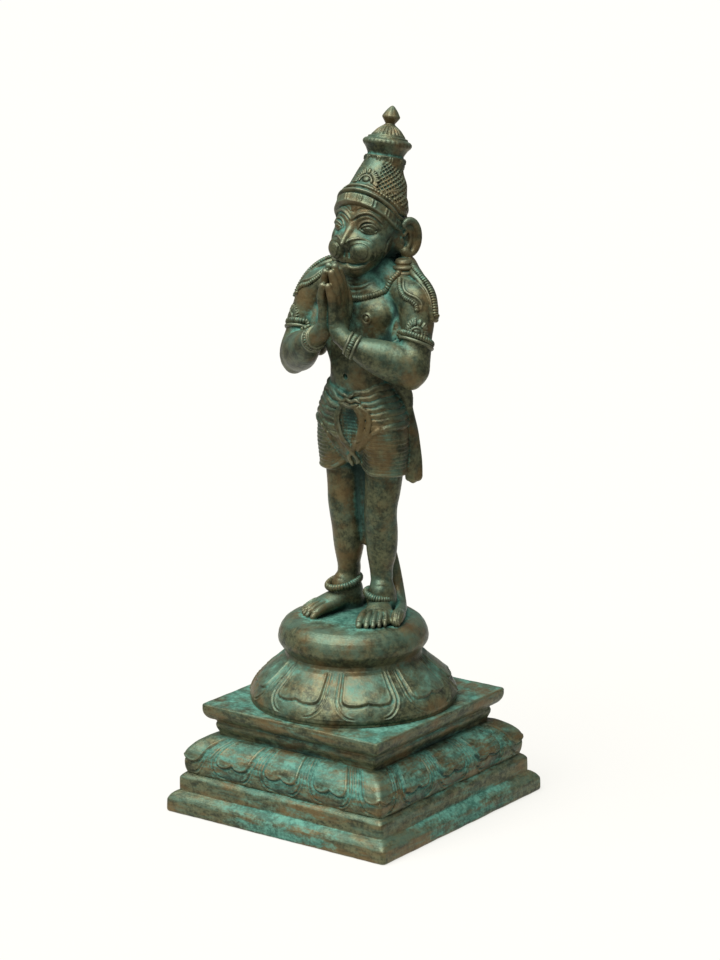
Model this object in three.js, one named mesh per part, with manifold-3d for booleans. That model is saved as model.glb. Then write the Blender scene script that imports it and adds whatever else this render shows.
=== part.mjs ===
// A monkey-headed devotee standing with joined palms on a round lotus pedestal, cast in bronze in one pour,
// and the square moulded plinth that the pedestal stands on, cast hollow and open below.
// Millimetres, +Z up, the figure faces -Y, and the origin is the middle of the plinth's underside.
import * as THREE from "three";
import { mergeVertices } from "three/addons/utils/BufferGeometryUtils.js";
import Module from "manifold-3d";

const wasm = await Module();
wasm.setup();

// The square plinth, from its foot upwards. Half sizes are measured to a side's face.
const PLINTH_HALF = 77;
const FOOT_HEIGHT = 8;
const FOOT_BEVEL = 2.4;
const STEP_INSET = 5.4;
const STEP_HEIGHT = 9.8;
const BAND_INSET = 2.4;
const BAND_HEIGHT = 21.2;
const BAND_BULGE = 1;
const BAND_FULLNESS = 1.18;
const NECK_INSET = 13.4;
const NECK_HEIGHT = 8;
const SLAB_INSET = 15.3;
const SLAB_HEIGHT = 4.8;
const SLAB_COVE = 6.2;
const CORNER_RADIUS = 2.5;
const WALL = 5;

// The seam between the two castings.
const SEAT_GAP = 0.3;

// The round lotus pedestal.
const SKIRT_MARGIN = 3;
const SKIRT_FOOT_INSET = 2.5;
const SKIRT_FOOT_HEIGHT = 1.5;
const SKIRT_RIM = 2.3;
const SKIRT_HEIGHT = 22.2;
const SKIRT_RISE_RADIUS = 39;
const SKIRT_SWELL = 1.8;
const CUSHION_RADIUS = 42.6;
const CUSHION_HEIGHT = 21.9;

// Petals carved on the plinth's band and on the skirt, with their width as a share of their pitch.
const PETAL_RISE = 1.1;
const PETALS_PER_SIDE = 4;
const BAND_PETAL_WIDTH = 0.76;
const SKIRT_PETALS = 8;
const SKIRT_PETAL_WIDTH = 0.8;

// The figure, from the pedestal's top to the tip of the crown.
const FIGURE_HEIGHT = 285;

// How finely round forms are faceted.
const PEDESTAL_SIDES = 24;
const TRUNK_SIDES = 12;
const HEAD_SIDES = 14;
const CROWN_SIDES = 12;
const LIMB_SIDES = 8;
const THIN_SIDES = 6;
const CORD_SIDES = 5;
const FINGER_SIDES = 4;

const BRONZE = new THREE.MeshStandardMaterial({ color: 0x5b6150, roughness: 0.55, metalness: 0.8 });
const BRONZE_PLINTH = new THREE.MeshStandardMaterial({ color: 0x566455, roughness: 0.6, metalness: 0.75 });

const X_AXIS = new THREE.Vector3(1, 0, 0);
const Y_AXIS = new THREE.Vector3(0, 1, 0);
const Z_AXIS = new THREE.Vector3(0, 0, 1);

// A three.js geometry as a solid that can be joined and cut.
function solid(geometry) {
  const bare = geometry.clone();
  bare.deleteAttribute("normal");
  bare.deleteAttribute("uv");
  const merged = mergeVertices(bare, 1e-4);
  const triVerts = new Uint32Array(merged.index.array);
  const vertProperties = merged.attributes.position.array;
  return new wasm.Manifold(new wasm.Mesh({ numProp: 3, vertProperties, triVerts }));
}

function joined(solids) {
  return solids.reduce((whole, piece) => whole.add(piece));
}

function namedMesh(name, shape, material) {
  const { numProp, vertProperties, triVerts } = shape.getMesh();
  const positions = new Float32Array((vertProperties.length / numProp) * 3);
  for (let i = 0; i < positions.length / 3; i++) {
    positions.set(vertProperties.subarray(i * numProp, i * numProp + 3), i * 3);
  }
  const geometry = new THREE.BufferGeometry();
  geometry.setAttribute("position", new THREE.BufferAttribute(positions, 3));
  geometry.setIndex(new THREE.BufferAttribute(triVerts, 1));
  geometry.computeVertexNormals();
  const mesh = new THREE.Mesh(geometry, material);
  mesh.name = name;
  return mesh;
}

// A closed skin over rings of points that all have the same count, with a flat fan at each end.
function skin(rings) {
  const sides = rings[0].length;
  const points = rings.flat();
  const index = [];
  for (let i = 0; i < rings.length - 1; i++) {
    for (let j = 0; j < sides; j++) {
      const a = i * sides + j;
      const b = i * sides + ((j + 1) % sides);
      index.push(a, b, b + sides, a, b + sides, a + sides);
    }
  }
  const middle = (ring) => ring.reduce((sum, p) => sum.add(p), new THREE.Vector3()).divideScalar(sides);
  const last = (rings.length - 1) * sides;
  const low = points.push(middle(rings[0])) - 1;
  const high = points.push(middle(rings[rings.length - 1])) - 1;
  for (let j = 0; j < sides; j++) {
    const next = (j + 1) % sides;
    index.push(low, next, j, high, last + j, last + next);
  }
  const geometry = new THREE.BufferGeometry().setFromPoints(points);
  geometry.setIndex(index);
  return solid(geometry);
}

// An oval of points about `centre`, `width` along `across` and `depth` along `up`.
function oval(centre, across, up, width, depth, sides) {
  return Array.from({ length: sides }, (_, j) => {
    const turn = (2 * Math.PI * (j + 0.5)) / sides;
    return centre
      .clone()
      .addScaledVector(across, width * Math.cos(turn))
      .addScaledVector(up, depth * Math.sin(turn));
  });
}

// A limb through stations [x, y, z, half width, half depth]. Its rings stand square to its path, and
// half width is measured along `side`.
function limb(stations, sides, side = X_AXIS) {
  const centres = stations.map(([x, y, z]) => new THREE.Vector3(x, y, z));
  return skin(
    stations.map(([, , , width, depth = width], i) => {
      const before = centres[Math.max(i - 1, 0)];
      const after = centres[Math.min(i + 1, centres.length - 1)];
      const along = after.clone().sub(before).normalize();
      const across = side.clone().addScaledVector(along, -side.dot(along)).normalize();
      return oval(centres[i], across, along.clone().cross(across), width, depth, sides);
    }),
  );
}

// Level ovals one above the other, from [z, y, half width, half depth, dip]. A dip lowers the front of a
// ring, as the folds of a slung cloth hang.
function stack(levels, sides, x = 0) {
  return skin(
    levels.map(([z, y, width, depth = width, dip = 0]) => {
      const ring = oval(new THREE.Vector3(x, y, z), X_AXIS, Y_AXIS, width, depth, sides);
      ring.forEach((point) => {
        const front = Math.max(0, (y - point.y) / depth);
        point.z -= dip * front ** 3;
      });
      return ring;
    }),
  );
}

// An egg-shaped form about a middle.
function ball([x, y, z], [width, depth, height], columns, rows) {
  const geometry = new THREE.SphereGeometry(1, columns, rows);
  geometry.rotateX(Math.PI / 2);
  geometry.scale(width, depth, height);
  geometry.translate(x, y, z);
  return solid(geometry);
}

// The same shape on the figure's left (+1) and right (-1).
function bothSides(make) {
  return [make(1), make(-1)];
}

const mirrored = (stations, hand) => stations.map(([x, ...rest]) => [x * hand, ...rest]);

// A carved petal's rows from its top edge to its foot: [share of its length, share of its half width]. Its
// foot is a heart's two lobes, with the middle groove ending higher, in a notch.
const PETAL_ROWS = [
  [0, 0.76],
  [0.6, 1],
  [1, 0.5],
];
const BAND_PETAL_SPAN = [0.2, 0.88];
const SKIRT_PETAL_SPAN = [0.05, 0.87];
const PETAL_SUNK = -0.8;
const PETAL_EDGE = 0.8;
const PETAL_GROOVE = 0.45;
const PETAL_NOTCH = 0.86;

// Where a petal's row falls on its surface, as a share of the way down, and the shares of all the rows of a
// surface that carries petals, from its foot upwards.
const alongSpan = ([top, foot], t) => top + (foot - top) * t;
const surfaceRows = (span) => [1, ...PETAL_ROWS.map(([t]) => alongSpan(span, t)).reverse(), 0];

// A petal raised on a curved surface. surface(s, t, lift) is the point s millimetres across and t of the
// way down the petal, lifted square to the surface.
function petal(surface, halfWidth, rise) {
  return skin(
    PETAL_ROWS.map(([t, share]) => {
      const width = halfWidth * share;
      return [
        surface(width, t, PETAL_SUNK),
        surface(width * PETAL_EDGE, t, rise),
        surface(0, t * PETAL_NOTCH, rise * PETAL_GROOVE),
        surface(-width * PETAL_EDGE, t, rise),
        surface(-width, t, PETAL_SUNK),
      ];
    }),
  );
}

// Heights of the plinth's mouldings.
const FOOT_TOP = FOOT_HEIGHT + FOOT_BEVEL;
const STEP_TOP = FOOT_TOP + STEP_HEIGHT;
const BAND_FOOT = STEP_TOP + BAND_INSET;
const BAND_TOP = BAND_FOOT + BAND_HEIGHT;
const NECK_TOP = BAND_TOP + NECK_HEIGHT;
const SLAB_FOOT = NECK_TOP + SLAB_COVE;
const PLINTH_TOP = SLAB_FOOT + SLAB_HEIGHT;

const STEP_HALF = PLINTH_HALF - STEP_INSET;
const BAND_HALF = STEP_HALF - BAND_INSET;
const NECK_HALF = BAND_HALF - NECK_INSET;
const SLAB_HALF = PLINTH_HALF - SLAB_INSET;

// The swelling profile of the petal band as [half size, height] at a share of its height, 0 at the top.
function bandProfile(share) {
  const turn = (share * Math.PI) / 2;
  const reach = Math.min(1, BAND_FULLNESS * Math.sin(turn));
  const bulge = BAND_BULGE * Math.sin(Math.PI * share) ** 2;
  return [NECK_HALF + (BAND_HALF - NECK_HALF) * reach + bulge, BAND_TOP - BAND_HEIGHT * share];
}

// A square moulding with eased corners through levels [half size, height].
function squareMoulding(levels, corner) {
  return skin(
    levels.map(([halfSize, z]) => {
      const ring = [];
      for (let quarter = 0; quarter < 4; quarter++) {
        const cornerTurn = (Math.PI / 2) * quarter + Math.PI / 4;
        const reach = (halfSize - corner) * Math.SQRT2;
        for (const turn of [(Math.PI / 2) * quarter, (Math.PI / 2) * (quarter + 1)]) {
          ring.push(
            new THREE.Vector3(
              reach * Math.cos(cornerTurn) + corner * Math.cos(turn),
              reach * Math.sin(cornerTurn) + corner * Math.sin(turn),
              z,
            ),
          );
        }
      }
      return ring;
    }),
  );
}

function plinthShell() {
  const outside = squareMoulding(
    [
      [PLINTH_HALF, 0],
      [PLINTH_HALF, FOOT_HEIGHT],
      [STEP_HALF + FOOT_BEVEL, FOOT_TOP - 0.8],
      [STEP_HALF, FOOT_TOP],
      [STEP_HALF, STEP_TOP],
      [BAND_HALF, BAND_FOOT],
      ...surfaceRows(BAND_PETAL_SPAN).slice(1, -1).map(bandProfile),
      [NECK_HALF + 0.6, BAND_TOP],
      [NECK_HALF, BAND_TOP + 0.8],
      [NECK_HALF, NECK_TOP - 3],
      [NECK_HALF + 1, NECK_TOP - 1.5],
      [NECK_HALF, NECK_TOP],
      [SLAB_HALF - 2, SLAB_FOOT - 2],
      [SLAB_HALF - 0.6, SLAB_FOOT],
      [SLAB_HALF, SLAB_FOOT + 1],
      [SLAB_HALF, PLINTH_TOP],
    ],
    CORNER_RADIUS,
  );
  const hollow = squareMoulding(
    [
      [PLINTH_HALF - WALL, -1],
      [PLINTH_HALF - WALL, FOOT_HEIGHT - WALL / 2],
      [STEP_HALF - WALL, FOOT_TOP],
      [BAND_HALF - WALL, BAND_FOOT - WALL / 2],
      [BAND_HALF - WALL, BAND_FOOT + BAND_HEIGHT / 3],
      [NECK_HALF - WALL, BAND_TOP - WALL],
      [NECK_HALF - WALL, PLINTH_TOP - WALL],
    ],
    CORNER_RADIUS / 2,
  );
  return outside.subtract(hollow);
}

const SLOPE_STEP = 0.05;

// A point on the petal band, `s` along side number `side` from a station `from` its middle. Past a corner it
// carries on along the next side.
function onBand(side, from, s, share, lift) {
  const low = bandProfile(Math.min(1, share + SLOPE_STEP));
  const high = bandProfile(Math.max(0, share - SLOPE_STEP));
  const slope = new THREE.Vector2(high[1] - low[1], low[0] - high[0]).normalize();
  const [halfSize, z] = bandProfile(share);
  const reach = halfSize + lift * slope.x;
  const corner = from >= 1;
  const place = corner ? reach - Math.abs(s) : from * halfSize + s;
  const turn = (Math.PI / 2) * (corner && s > 0 ? side + 1 : side);
  const local = corner && s > 0 ? -place : place;
  return new THREE.Vector3(
    Math.sin(turn) * reach + Math.cos(turn) * local,
    -Math.cos(turn) * reach + Math.sin(turn) * local,
    z + lift * slope.y,
  );
}

function bandPetals() {
  const halfWidth = (BAND_HALF / PETALS_PER_SIDE) * BAND_PETAL_WIDTH;
  const petals = [];
  for (let side = 0; side < 4; side++) {
    for (let i = 1; i <= PETALS_PER_SIDE; i++) {
      const from = -1 + (2 * i) / PETALS_PER_SIDE;
      const surface = (s, t, lift) => onBand(side, from, s, alongSpan(BAND_PETAL_SPAN, t), lift);
      petals.push(petal(surface, halfWidth, PETAL_RISE));
    }
  }
  return petals;
}

const SKIRT_RADIUS = SLAB_HALF - SKIRT_MARGIN;
const PEDESTAL_SEAT = PLINTH_TOP + SEAT_GAP;
const SKIRT_FOOT = PEDESTAL_SEAT + SKIRT_FOOT_HEIGHT;
const SKIRT_LIP = SKIRT_FOOT + SKIRT_RIM;
const SKIRT_TOP = SKIRT_LIP + SKIRT_HEIGHT;
const PLATFORM = SKIRT_TOP + CUSHION_HEIGHT;

// The skirt's gently swelling slope as [radius, height] at a share of the way down.
function skirtProfile(share) {
  const swell = SKIRT_SWELL * Math.sin(Math.PI * share);
  return [
    SKIRT_RISE_RADIUS + (SKIRT_RADIUS - SKIRT_RISE_RADIUS) * share + swell,
    SKIRT_TOP - SKIRT_HEIGHT * share,
  ];
}

function turned(profile, sides) {
  const ring = ([radius, z]) => oval(new THREE.Vector3(0, 0, z), X_AXIS, Y_AXIS, radius, radius, sides);
  return skin(profile.map(ring));
}

// The cushion's section as shares of its radius and height.
const CUSHION = [
  [0.905, 0.12],
  [0.96, 0.2],
  [1, 0.36],
  [0.99, 0.58],
  [0.94, 0.82],
  [0.86, 0.96],
  [0.74, 1],
];

function pedestal() {
  return turned(
    [
      [SKIRT_RADIUS - SKIRT_FOOT_INSET, PEDESTAL_SEAT],
      [SKIRT_RADIUS - SKIRT_FOOT_INSET, SKIRT_FOOT],
      [SKIRT_RADIUS, SKIRT_FOOT],
      ...surfaceRows(SKIRT_PETAL_SPAN).map(skirtProfile),
      ...CUSHION.map(([radius, share]) => [CUSHION_RADIUS * radius, SKIRT_TOP + CUSHION_HEIGHT * share]),
    ],
    PEDESTAL_SIDES,
  );
}

function skirtPetals() {
  const pitch = (2 * Math.PI) / SKIRT_PETALS;
  const slope = Math.atan2(SKIRT_HEIGHT, SKIRT_RADIUS - SKIRT_RISE_RADIUS);
  const middleRadius = skirtProfile(0.5)[0];
  return Array.from({ length: SKIRT_PETALS }, (_, i) => {
    const surface = (s, t, lift) => {
      const share = alongSpan(SKIRT_PETAL_SPAN, t);
      const [radius, z] = skirtProfile(share);
      const turn = i * pitch + s / middleRadius;
      const reach = radius + lift * Math.sin(slope);
      return new THREE.Vector3(Math.sin(turn) * reach, -Math.cos(turn) * reach, z + lift * Math.cos(slope));
    };
    return petal(surface, (middleRadius * pitch * SKIRT_PETAL_WIDTH) / 2, PETAL_RISE);
  });
}

// From here on the numbers are the figure's own: x to its left, -y to its front, z above the pedestal.
// Stations are [x, y, z, half width, half depth]; the figure's right side mirrors its left.

// A limb's stations with a ridge round it between two of them: the ring of an armlet, bracelet or anklet.
function ringed(from, to, count, rise) {
  const steps = [[0, 0]];
  for (let i = 0; i < count; i++) {
    steps.push([i + 0.2, rise], [i + 0.8, rise], [i + 1, 0]);
  }
  return steps.map(([step, lift]) => {
    const mixed = from.map((value, k) => value + ((to[k] - value) * step) / count);
    return [mixed[0], mixed[1], mixed[2], mixed[3] + lift, (mixed[4] ?? mixed[3]) + lift];
  });
}

// Each foot turns outwards from the front, the left one more.
const LEFT_SPLAY = THREE.MathUtils.degToRad(26);
const RIGHT_SPLAY = THREE.MathUtils.degToRad(15);
const SOLE_SUNK = 0.8;
const BIG_TOE_ASIDE = -6.9;
const BIG_TOE_REACH = 33.5;
const BIG_TOE_THICKNESS = 2.5;
const TOE_PITCH = 3.7;
const TOE_SHORTENING = 0.45;
const TOE_THINNING = 0.18;

// A leg from the pedestal up into the breeches, with its anklet.
function legs() {
  return bothSides((hand) =>
    limb(
      mirrored(
        [
          [11.5, 12.5, 5, 5.4],
          ...ringed([11.4, 12, 13, 6.3], [11.3, 11.7, 17, 6.1], 1, 1.9),
          [11.2, 11.5, 26, 6.1],
          [11.2, 11.8, 38, 8.1, 8.4],
          [11.4, 11.2, 48, 8.5, 8.8],
          [12.2, 10, 57, 8.6, 8.9],
          [13, 11, 72, 9.4, 9.8],
          [14, 12, 88, 10.6, 11],
        ],
        hand,
      ),
      LIMB_SIDES,
    ),
  );
}

function feet() {
  return bothSides((hand) => {
    const splay = hand > 0 ? LEFT_SPLAY : RIGHT_SPLAY;
    const ahead = new THREE.Vector3(Math.sin(splay) * hand, -Math.cos(splay), 0);
    const outward = new THREE.Vector3(Math.cos(splay) * hand, Math.sin(splay), 0);
    const place = (forward, aside, z) => {
      const p = new THREE.Vector3(11.5 * hand, 12.5, z);
      return p.addScaledVector(ahead, forward).addScaledVector(outward, aside).toArray();
    };
    const sole = limb(
      [
        [...place(-9.5, 0, 3.2), 3.6, 3.2 + SOLE_SUNK],
        [...place(-5, 0, 5.6), 5.8, 5.6 + SOLE_SUNK],
        [...place(5, 0, 7.2), 6.2, 7.2 + SOLE_SUNK],
        [...place(15, 0.4, 4.4), 8, 4.4 + SOLE_SUNK],
        [...place(23, 0.6, 2.6), 9.2, 2.6 + SOLE_SUNK],
      ],
      LIMB_SIDES,
      outward,
    );
    const toes = [0, 1, 2, 3, 4].map((toe) => {
      const aside = BIG_TOE_ASIDE + TOE_PITCH * toe;
      const reach = BIG_TOE_REACH - TOE_SHORTENING * toe ** 1.8;
      const thick = BIG_TOE_THICKNESS - TOE_THINNING * toe;
      return limb(
        [
          [...place(22, aside, thick), thick],
          [...place(reach - 2.5, aside * 1.1, thick - 0.2), thick],
          [...place(reach, aside * 1.12, thick - 0.7), thick * 0.6],
        ],
        FINGER_SIDES,
        outward,
      );
    });
    return joined([sole, ...toes]);
  });
}

const FOLD_DIP = 5;

// The trunk from the hips to the neck, with the waist cloth's folds round its lower half and the bead
// collar hanging round the neck.
function torso() {
  const folds = [
    [104.5, 11, 28.8, 16.4],
    [113.5, 10.6, 27.8, 15.8],
    [122, 9.8, 24.4, 14.2],
    [131, 9, 20, 12.8],
  ].flatMap(([z, y, width, depth]) => [
    [z, y, width, depth, FOLD_DIP],
    [z + 2.4, y, width + 1.8, depth + 1.6, FOLD_DIP],
  ]);
  return [
    stack(
      [
        [90, 12, 14, 11],
        [100, 12, 26, 15],
        ...folds,
        [137, 8.4, 17, 12.4],
        [142, 8, 16.8, 12.8],
        [150, 8.6, 21, 12.8],
        [160, 9.6, 26, 13.6],
        [171, 10.6, 27, 14.2],
        [180.5, 12.8, 26.5, 12.6, 0],
        [186.5, 13.6, 21, 12, 4],
        [189, 13.6, 19, 13.4, 7],
        [191.5, 13.2, 15.6, 12.6, 7],
        [193, 12.4, 12, 10.8, 6],
        [202, 12, 9.6, 10.4],
      ],
      TRUNK_SIDES,
    ),
  ];
}

const PLEATS = 5;
const HEM = [14.8, 11.8, 82];
const BREECHES_HEIGHT = 23;
const HEM_RADIUS = 12.2;
const THIGH_SWELL = 2.2;
const PLEAT_STEP = 0.8;

// Short pleated breeches, the knot and swags of the waist cloth, and its hanging ends.
function garment() {
  const breeches = bothSides((hand) => {
    const [x, y, z] = HEM;
    const rings = [[x, y, z, HEM_RADIUS - PLEAT_STEP]];
    const pleat = BREECHES_HEIGHT / PLEATS;
    for (let i = 0; i < PLEATS; i++) {
      const radius = HEM_RADIUS + THIGH_SWELL * Math.sin((i / PLEATS) * (Math.PI / 2));
      rings.push([x, y, z + pleat * (i + 0.2), radius], [x, y, z + pleat * (i + 0.95), radius - PLEAT_STEP]);
    }
    return limb(mirrored(rings, hand), LIMB_SIDES + 1);
  });
  const knot = ball([0, -5, 120], [6.6, 3, 4.4], 6, 4);
  const loop = bothSides((hand) =>
    limb(
      mirrored(
        [
          [3, -5.2, 121, 1.8],
          [8.6, -5, 113, 2],
          [8, -4.4, 104, 2],
          [0, -2, 92, 1.4],
        ],
        hand,
      ),
      CORD_SIDES,
    ),
  );
  const sideEnds = bothSides((hand) =>
    limb(
      mirrored(
        [
          [22.5, 18, 122, 4.6, 2.4],
          [26.6, 20, 106, 5.4, 2.2],
          [27.4, 22, 90, 6, 2.2],
          [27.4, 22, 77.5, 5.4, 1.6],
        ],
        hand,
      ),
      THIN_SIDES,
      new THREE.Vector3(0.5 * hand, 1, 0).normalize(),
    ),
  );
  const backFall = limb(
    [
      [0, 24, 122, 6, 2.6],
      [0, 28.5, 104, 8, 2.6],
      [0, 27.5, 84, 8, 2.4],
      [0, 25, 66, 7, 2],
    ],
    THIN_SIDES,
  );
  return [...breeches, knot, ...loop, ...sideEnds, backFall];
}

// The tail hangs from the back, swings behind the left calf and curls round that heel to end in a tuft.
function tail() {
  return limb(
    [
      [0, 24, 122, 3.4],
      [0, 30, 106, 3.8],
      [-5, 30, 80, 4.4],
      [-7, 29.5, 56, 4],
      [1, 30, 40, 3.6],
      [7.6, 29, 24, 3.6],
      [11.8, 28, 10, 3.6],
      [18, 22, 3, 3.2],
      [25, 11, 3.4, 3.8],
      [30.5, 2, 4.4, 4.6],
      [32.6, -3.6, 2.6, 2.6],
    ],
    THIN_SIDES,
    Y_AXIS,
  );
}

// Upper arms with double armlets, forearms raised to the middle with bracelets.
function arms() {
  return bothSides((hand) => {
    const upper = limb(
      mirrored(
        [
          [22, 16, 185, 7],
          [33, 15, 181, 9.8],
          [36.6, 11.5, 172, 9],
          ...ringed([38.6, 8.8, 164.5, 8.2], [39.6, 6.4, 156.5, 8.2], 2, 1.7),
          [40, 3.6, 148, 9],
          [40.4, 1.8, 139, 8.2],
          [40, 1.2, 134, 4.6],
        ],
        hand,
      ),
      LIMB_SIDES,
    );
    const fore = limb(
      mirrored(
        [
          [43.6, 5, 142, 5.6],
          [37.4, 0.6, 145, 9.2],
          [29, -6.4, 150.5, 8.8],
          [20.5, -12.6, 155, 7.4],
          ...ringed([17.4, -14.6, 157, 6.4], [13.6, -17, 159.6, 5.8], 1, 1.7),
          [9, -19, 162.5, 5.4],
          [5, -20, 165.5, 4.6],
        ],
        hand,
      ),
      LIMB_SIDES,
      Z_AXIS,
    );
    const plaque = limb(
      mirrored(
        [
          [43, 2.6, 161, 7.5, 2],
          [42.4, 2.6, 168, 7, 2.2],
          [39.5, 2.8, 175, 3.2, 1.8],
        ],
        hand,
      ),
      THIN_SIDES,
      new THREE.Vector3(0.8 * hand, 0.6, 0),
    );
    return joined([upper, fore, plaque]);
  });
}

// Palms pressed together in the figure's middle plane, fingers up.
const FINGERS = [
  [[2.8, -19.2, 176], [2, -22.4, 195.5], 2.2],
  [[2.9, -16.4, 178], [2, -20.2, 203], 2.4],
  [[2.9, -13, 178], [2, -17, 207], 2.4],
  [[2.8, -9.6, 177], [2, -12.8, 205], 2.4],
  [[4.6, -7.4, 168], [3.2, -8, 197], 2.5],
];

function hands() {
  return bothSides((hand) => {
    const palm = limb(
      mirrored(
        [
          [4.4, -19.4, 161.5, 5, 4],
          [3.4, -16.6, 169, 7.6, 3.8],
          [2.9, -14.6, 177, 7.6, 3],
          [2.7, -14.6, 182, 5.6, 2.4],
        ],
        hand,
      ),
      LIMB_SIDES - 1,
      Y_AXIS,
    );
    const fingers = FINGERS.map(([root, tip, thick]) => {
      const bend = root.map((value, k) => value + (tip[k] - value) * 0.86);
      const stations = [[...root, thick], [...bend, thick * 0.92], [...tip, thick * 0.5]];
      return limb(mirrored(stations, hand), FINGER_SIDES, Y_AXIS);
    });
    return joined([palm, ...fingers]);
  });
}

function head() {
  const skull = stack(
    [
      [196.5, 6.5, 5.5, 7],
      [200, 8, 10.8, 11],
      [206, 10, 14.6, 13],
      [213, 13, 17, 15],
      [222, 17, 18.2, 17],
      [232, 20.3, 18.8, 17.6],
      [242, 24, 16.5, 16],
    ],
    HEAD_SIDES,
  );
  const muzzle = ball([0, 2.4, 206], [9.4, 7, 8], 8, 4);
  const pads = bothSides((hand) => {
    const facing = new THREE.Vector3(0.62 * hand, -1, 0);
    return limb(
      [
        [5.4 * hand, 4.4, 210, 7.4],
        [7.6 * hand, -1.4, 210, 7.2],
        [8 * hand, -3, 210, 5],
      ],
      LIMB_SIDES,
      facing.cross(Z_AXIS),
    );
  });
  const nose = limb(
    [
      [0, 3.6, 228, 1.5, 1.2],
      [0, -2.6, 219.5, 2, 2],
      [0, -5.4, 215, 3, 2.4],
      [0, -3.8, 212, 1.8, 1.2],
    ],
    THIN_SIDES,
  );
  const brows = bothSides((hand) =>
    limb(
      mirrored(
        [
          [1.2, 1.8, 228.5, 1],
          [7.5, 2.4, 232, 1.3],
          [15.2, 9, 227, 0.8],
        ],
        hand,
      ),
      FINGER_SIDES,
    ),
  );
  const eyes = bothSides((hand) => ball([8.6 * hand, 4.4, 223.4], [4.6, 2.4, 2.4], 6, 4));
  const ears = bothSides((hand) => {
    const out = new THREE.Vector3(hand, -0.3, 0).normalize();
    const shape = (reach, width, height) => {
      const middle = new THREE.Vector3(19.4 * hand, 27.2, 213.5).addScaledVector(out, reach);
      return oval(middle, Z_AXIS.clone().cross(out), Z_AXIS, width, height, LIMB_SIDES + 1);
    };
    return skin([shape(-4, 6, 10), shape(2.4, 7.6, 12), shape(3.2, 6.4, 10.6), shape(-0.6, 4, 7.6)]);
  });
  const earrings = bothSides((hand) =>
    stack(
      [
        [189, 25.5, 1.6, 1.6],
        [192.6, 25.5, 5.2, 5.2],
        [196.4, 25.5, 4.8, 4.8],
        [198, 25.5, 5.8, 5.8],
        [204.5, 26, 3.4, 4],
      ],
      LIMB_SIDES - 1,
      18.6 * hand,
    ),
  );
  return [skull, muzzle, ...pads, nose, ...brows, ...eyes, ...ears, ...earrings];
}

// The tall crown leans back. Stations are [y, z, radius] up its bent axis.
const CROWN = [
  [18.6, 226.6, 18.6],
  [19, 228, 19.6],
  [21, 232.6, 19.4],
  [21.8, 234, 18],
  [23.6, 236.8, 17.6],
  [24.8, 238.6, 15.8],
  [29.4, 247, 13.2],
  [32.4, 253.2, 11.2],
  [32.8, 254, 11.4],
  [34.4, 258.8, 11],
  [34.9, 260.2, 9.8],
  [35.6, 262.4, 13.6],
  [36.2, 264.6, 13.6],
  [36.8, 267.4, 10.8],
  [37.8, 271, 8.2],
  [38.8, 275, 2.8],
  [39.6, 279, 5.1],
  [41, 285, 0.5],
];

function crown() {
  const tower = limb(
    CROWN.map(([y, z, radius]) => [0, y, z, radius]),
    CROWN_SIDES,
  );
  const crest = limb(
    [
      [0, 9.8, 244, 7.6, 1.8],
      [0, 13.4, 249.4, 7.2, 1.8],
      [0, 18, 254.6, 3, 1.6],
    ],
    THIN_SIDES,
  );
  return [tower, crest];
}

// The cords over the shoulders and the fringed locks behind them.
function shoulderDress() {
  const cords = bothSides((hand) =>
    limb(
      mirrored(
        [
          [18, 13, 191, 1.8],
          [24, 4.4, 186, 2],
          [34, 2.6, 176, 1.8],
        ],
        hand,
      ),
      CORD_SIDES,
    ),
  );
  const locks = bothSides((hand) =>
    limb(
      mirrored(
        [
          [8, 27, 203, 4, 4.5],
          [24, 24.5, 193.5, 5, 5],
          [37, 20.5, 184.5, 4.5, 4.6],
          [45.2, 16.2, 172.5, 3, 2.6],
        ],
        hand,
      ),
      THIN_SIDES,
      Y_AXIS,
    ),
  );
  const nape = ball([0, 27, 201], [13, 8, 14], 7, 4);
  return [...cords, ...locks, nape];
}

function figure() {
  const body = joined([
    ...legs(),
    ...feet(),
    ...torso(),
    ...garment(),
    tail(),
    ...arms(),
    ...hands(),
    ...head(),
    ...crown(),
    ...shoulderDress(),
  ]);
  const drawnHeight = CROWN[CROWN.length - 1][1];
  const share = FIGURE_HEIGHT / drawnHeight;
  return body.scale([share, share, share]).translate([0, 0, PLATFORM]);
}

const sculpture = new THREE.Group();
sculpture.add(namedMesh("figure_on_lotus", joined([pedestal(), ...skirtPetals(), figure()]), BRONZE));
sculpture.add(namedMesh("square_plinth", joined([plinthShell(), ...bandPetals()]), BRONZE_PLINTH));

export default sculpture;
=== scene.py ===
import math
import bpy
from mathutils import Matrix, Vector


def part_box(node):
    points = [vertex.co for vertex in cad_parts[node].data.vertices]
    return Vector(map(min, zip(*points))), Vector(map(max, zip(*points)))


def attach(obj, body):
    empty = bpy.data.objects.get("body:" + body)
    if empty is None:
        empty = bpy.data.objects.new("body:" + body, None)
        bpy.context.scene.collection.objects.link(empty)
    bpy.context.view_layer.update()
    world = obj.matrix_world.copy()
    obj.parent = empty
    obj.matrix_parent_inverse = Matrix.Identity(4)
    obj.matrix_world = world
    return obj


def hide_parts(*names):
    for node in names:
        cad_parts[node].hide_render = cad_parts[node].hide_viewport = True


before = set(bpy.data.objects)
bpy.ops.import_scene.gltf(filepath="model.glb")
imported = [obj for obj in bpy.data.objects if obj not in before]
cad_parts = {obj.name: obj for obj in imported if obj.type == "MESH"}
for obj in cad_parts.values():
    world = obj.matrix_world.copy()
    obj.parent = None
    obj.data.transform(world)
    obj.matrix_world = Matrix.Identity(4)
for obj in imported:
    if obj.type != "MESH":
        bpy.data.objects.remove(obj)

# A bronze monkey devotee with joined palms on a round lotus pedestal and a square plinth.
# Shapes are worked out in millimetres: x to the figure's left, -y to its front and z up from the
# pedestal's top, where the feet stand.
from concurrent.futures import ThreadPoolExecutor

import bpy
import numpy as np
import openvdb
from mathutils import Matrix, Vector

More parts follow.
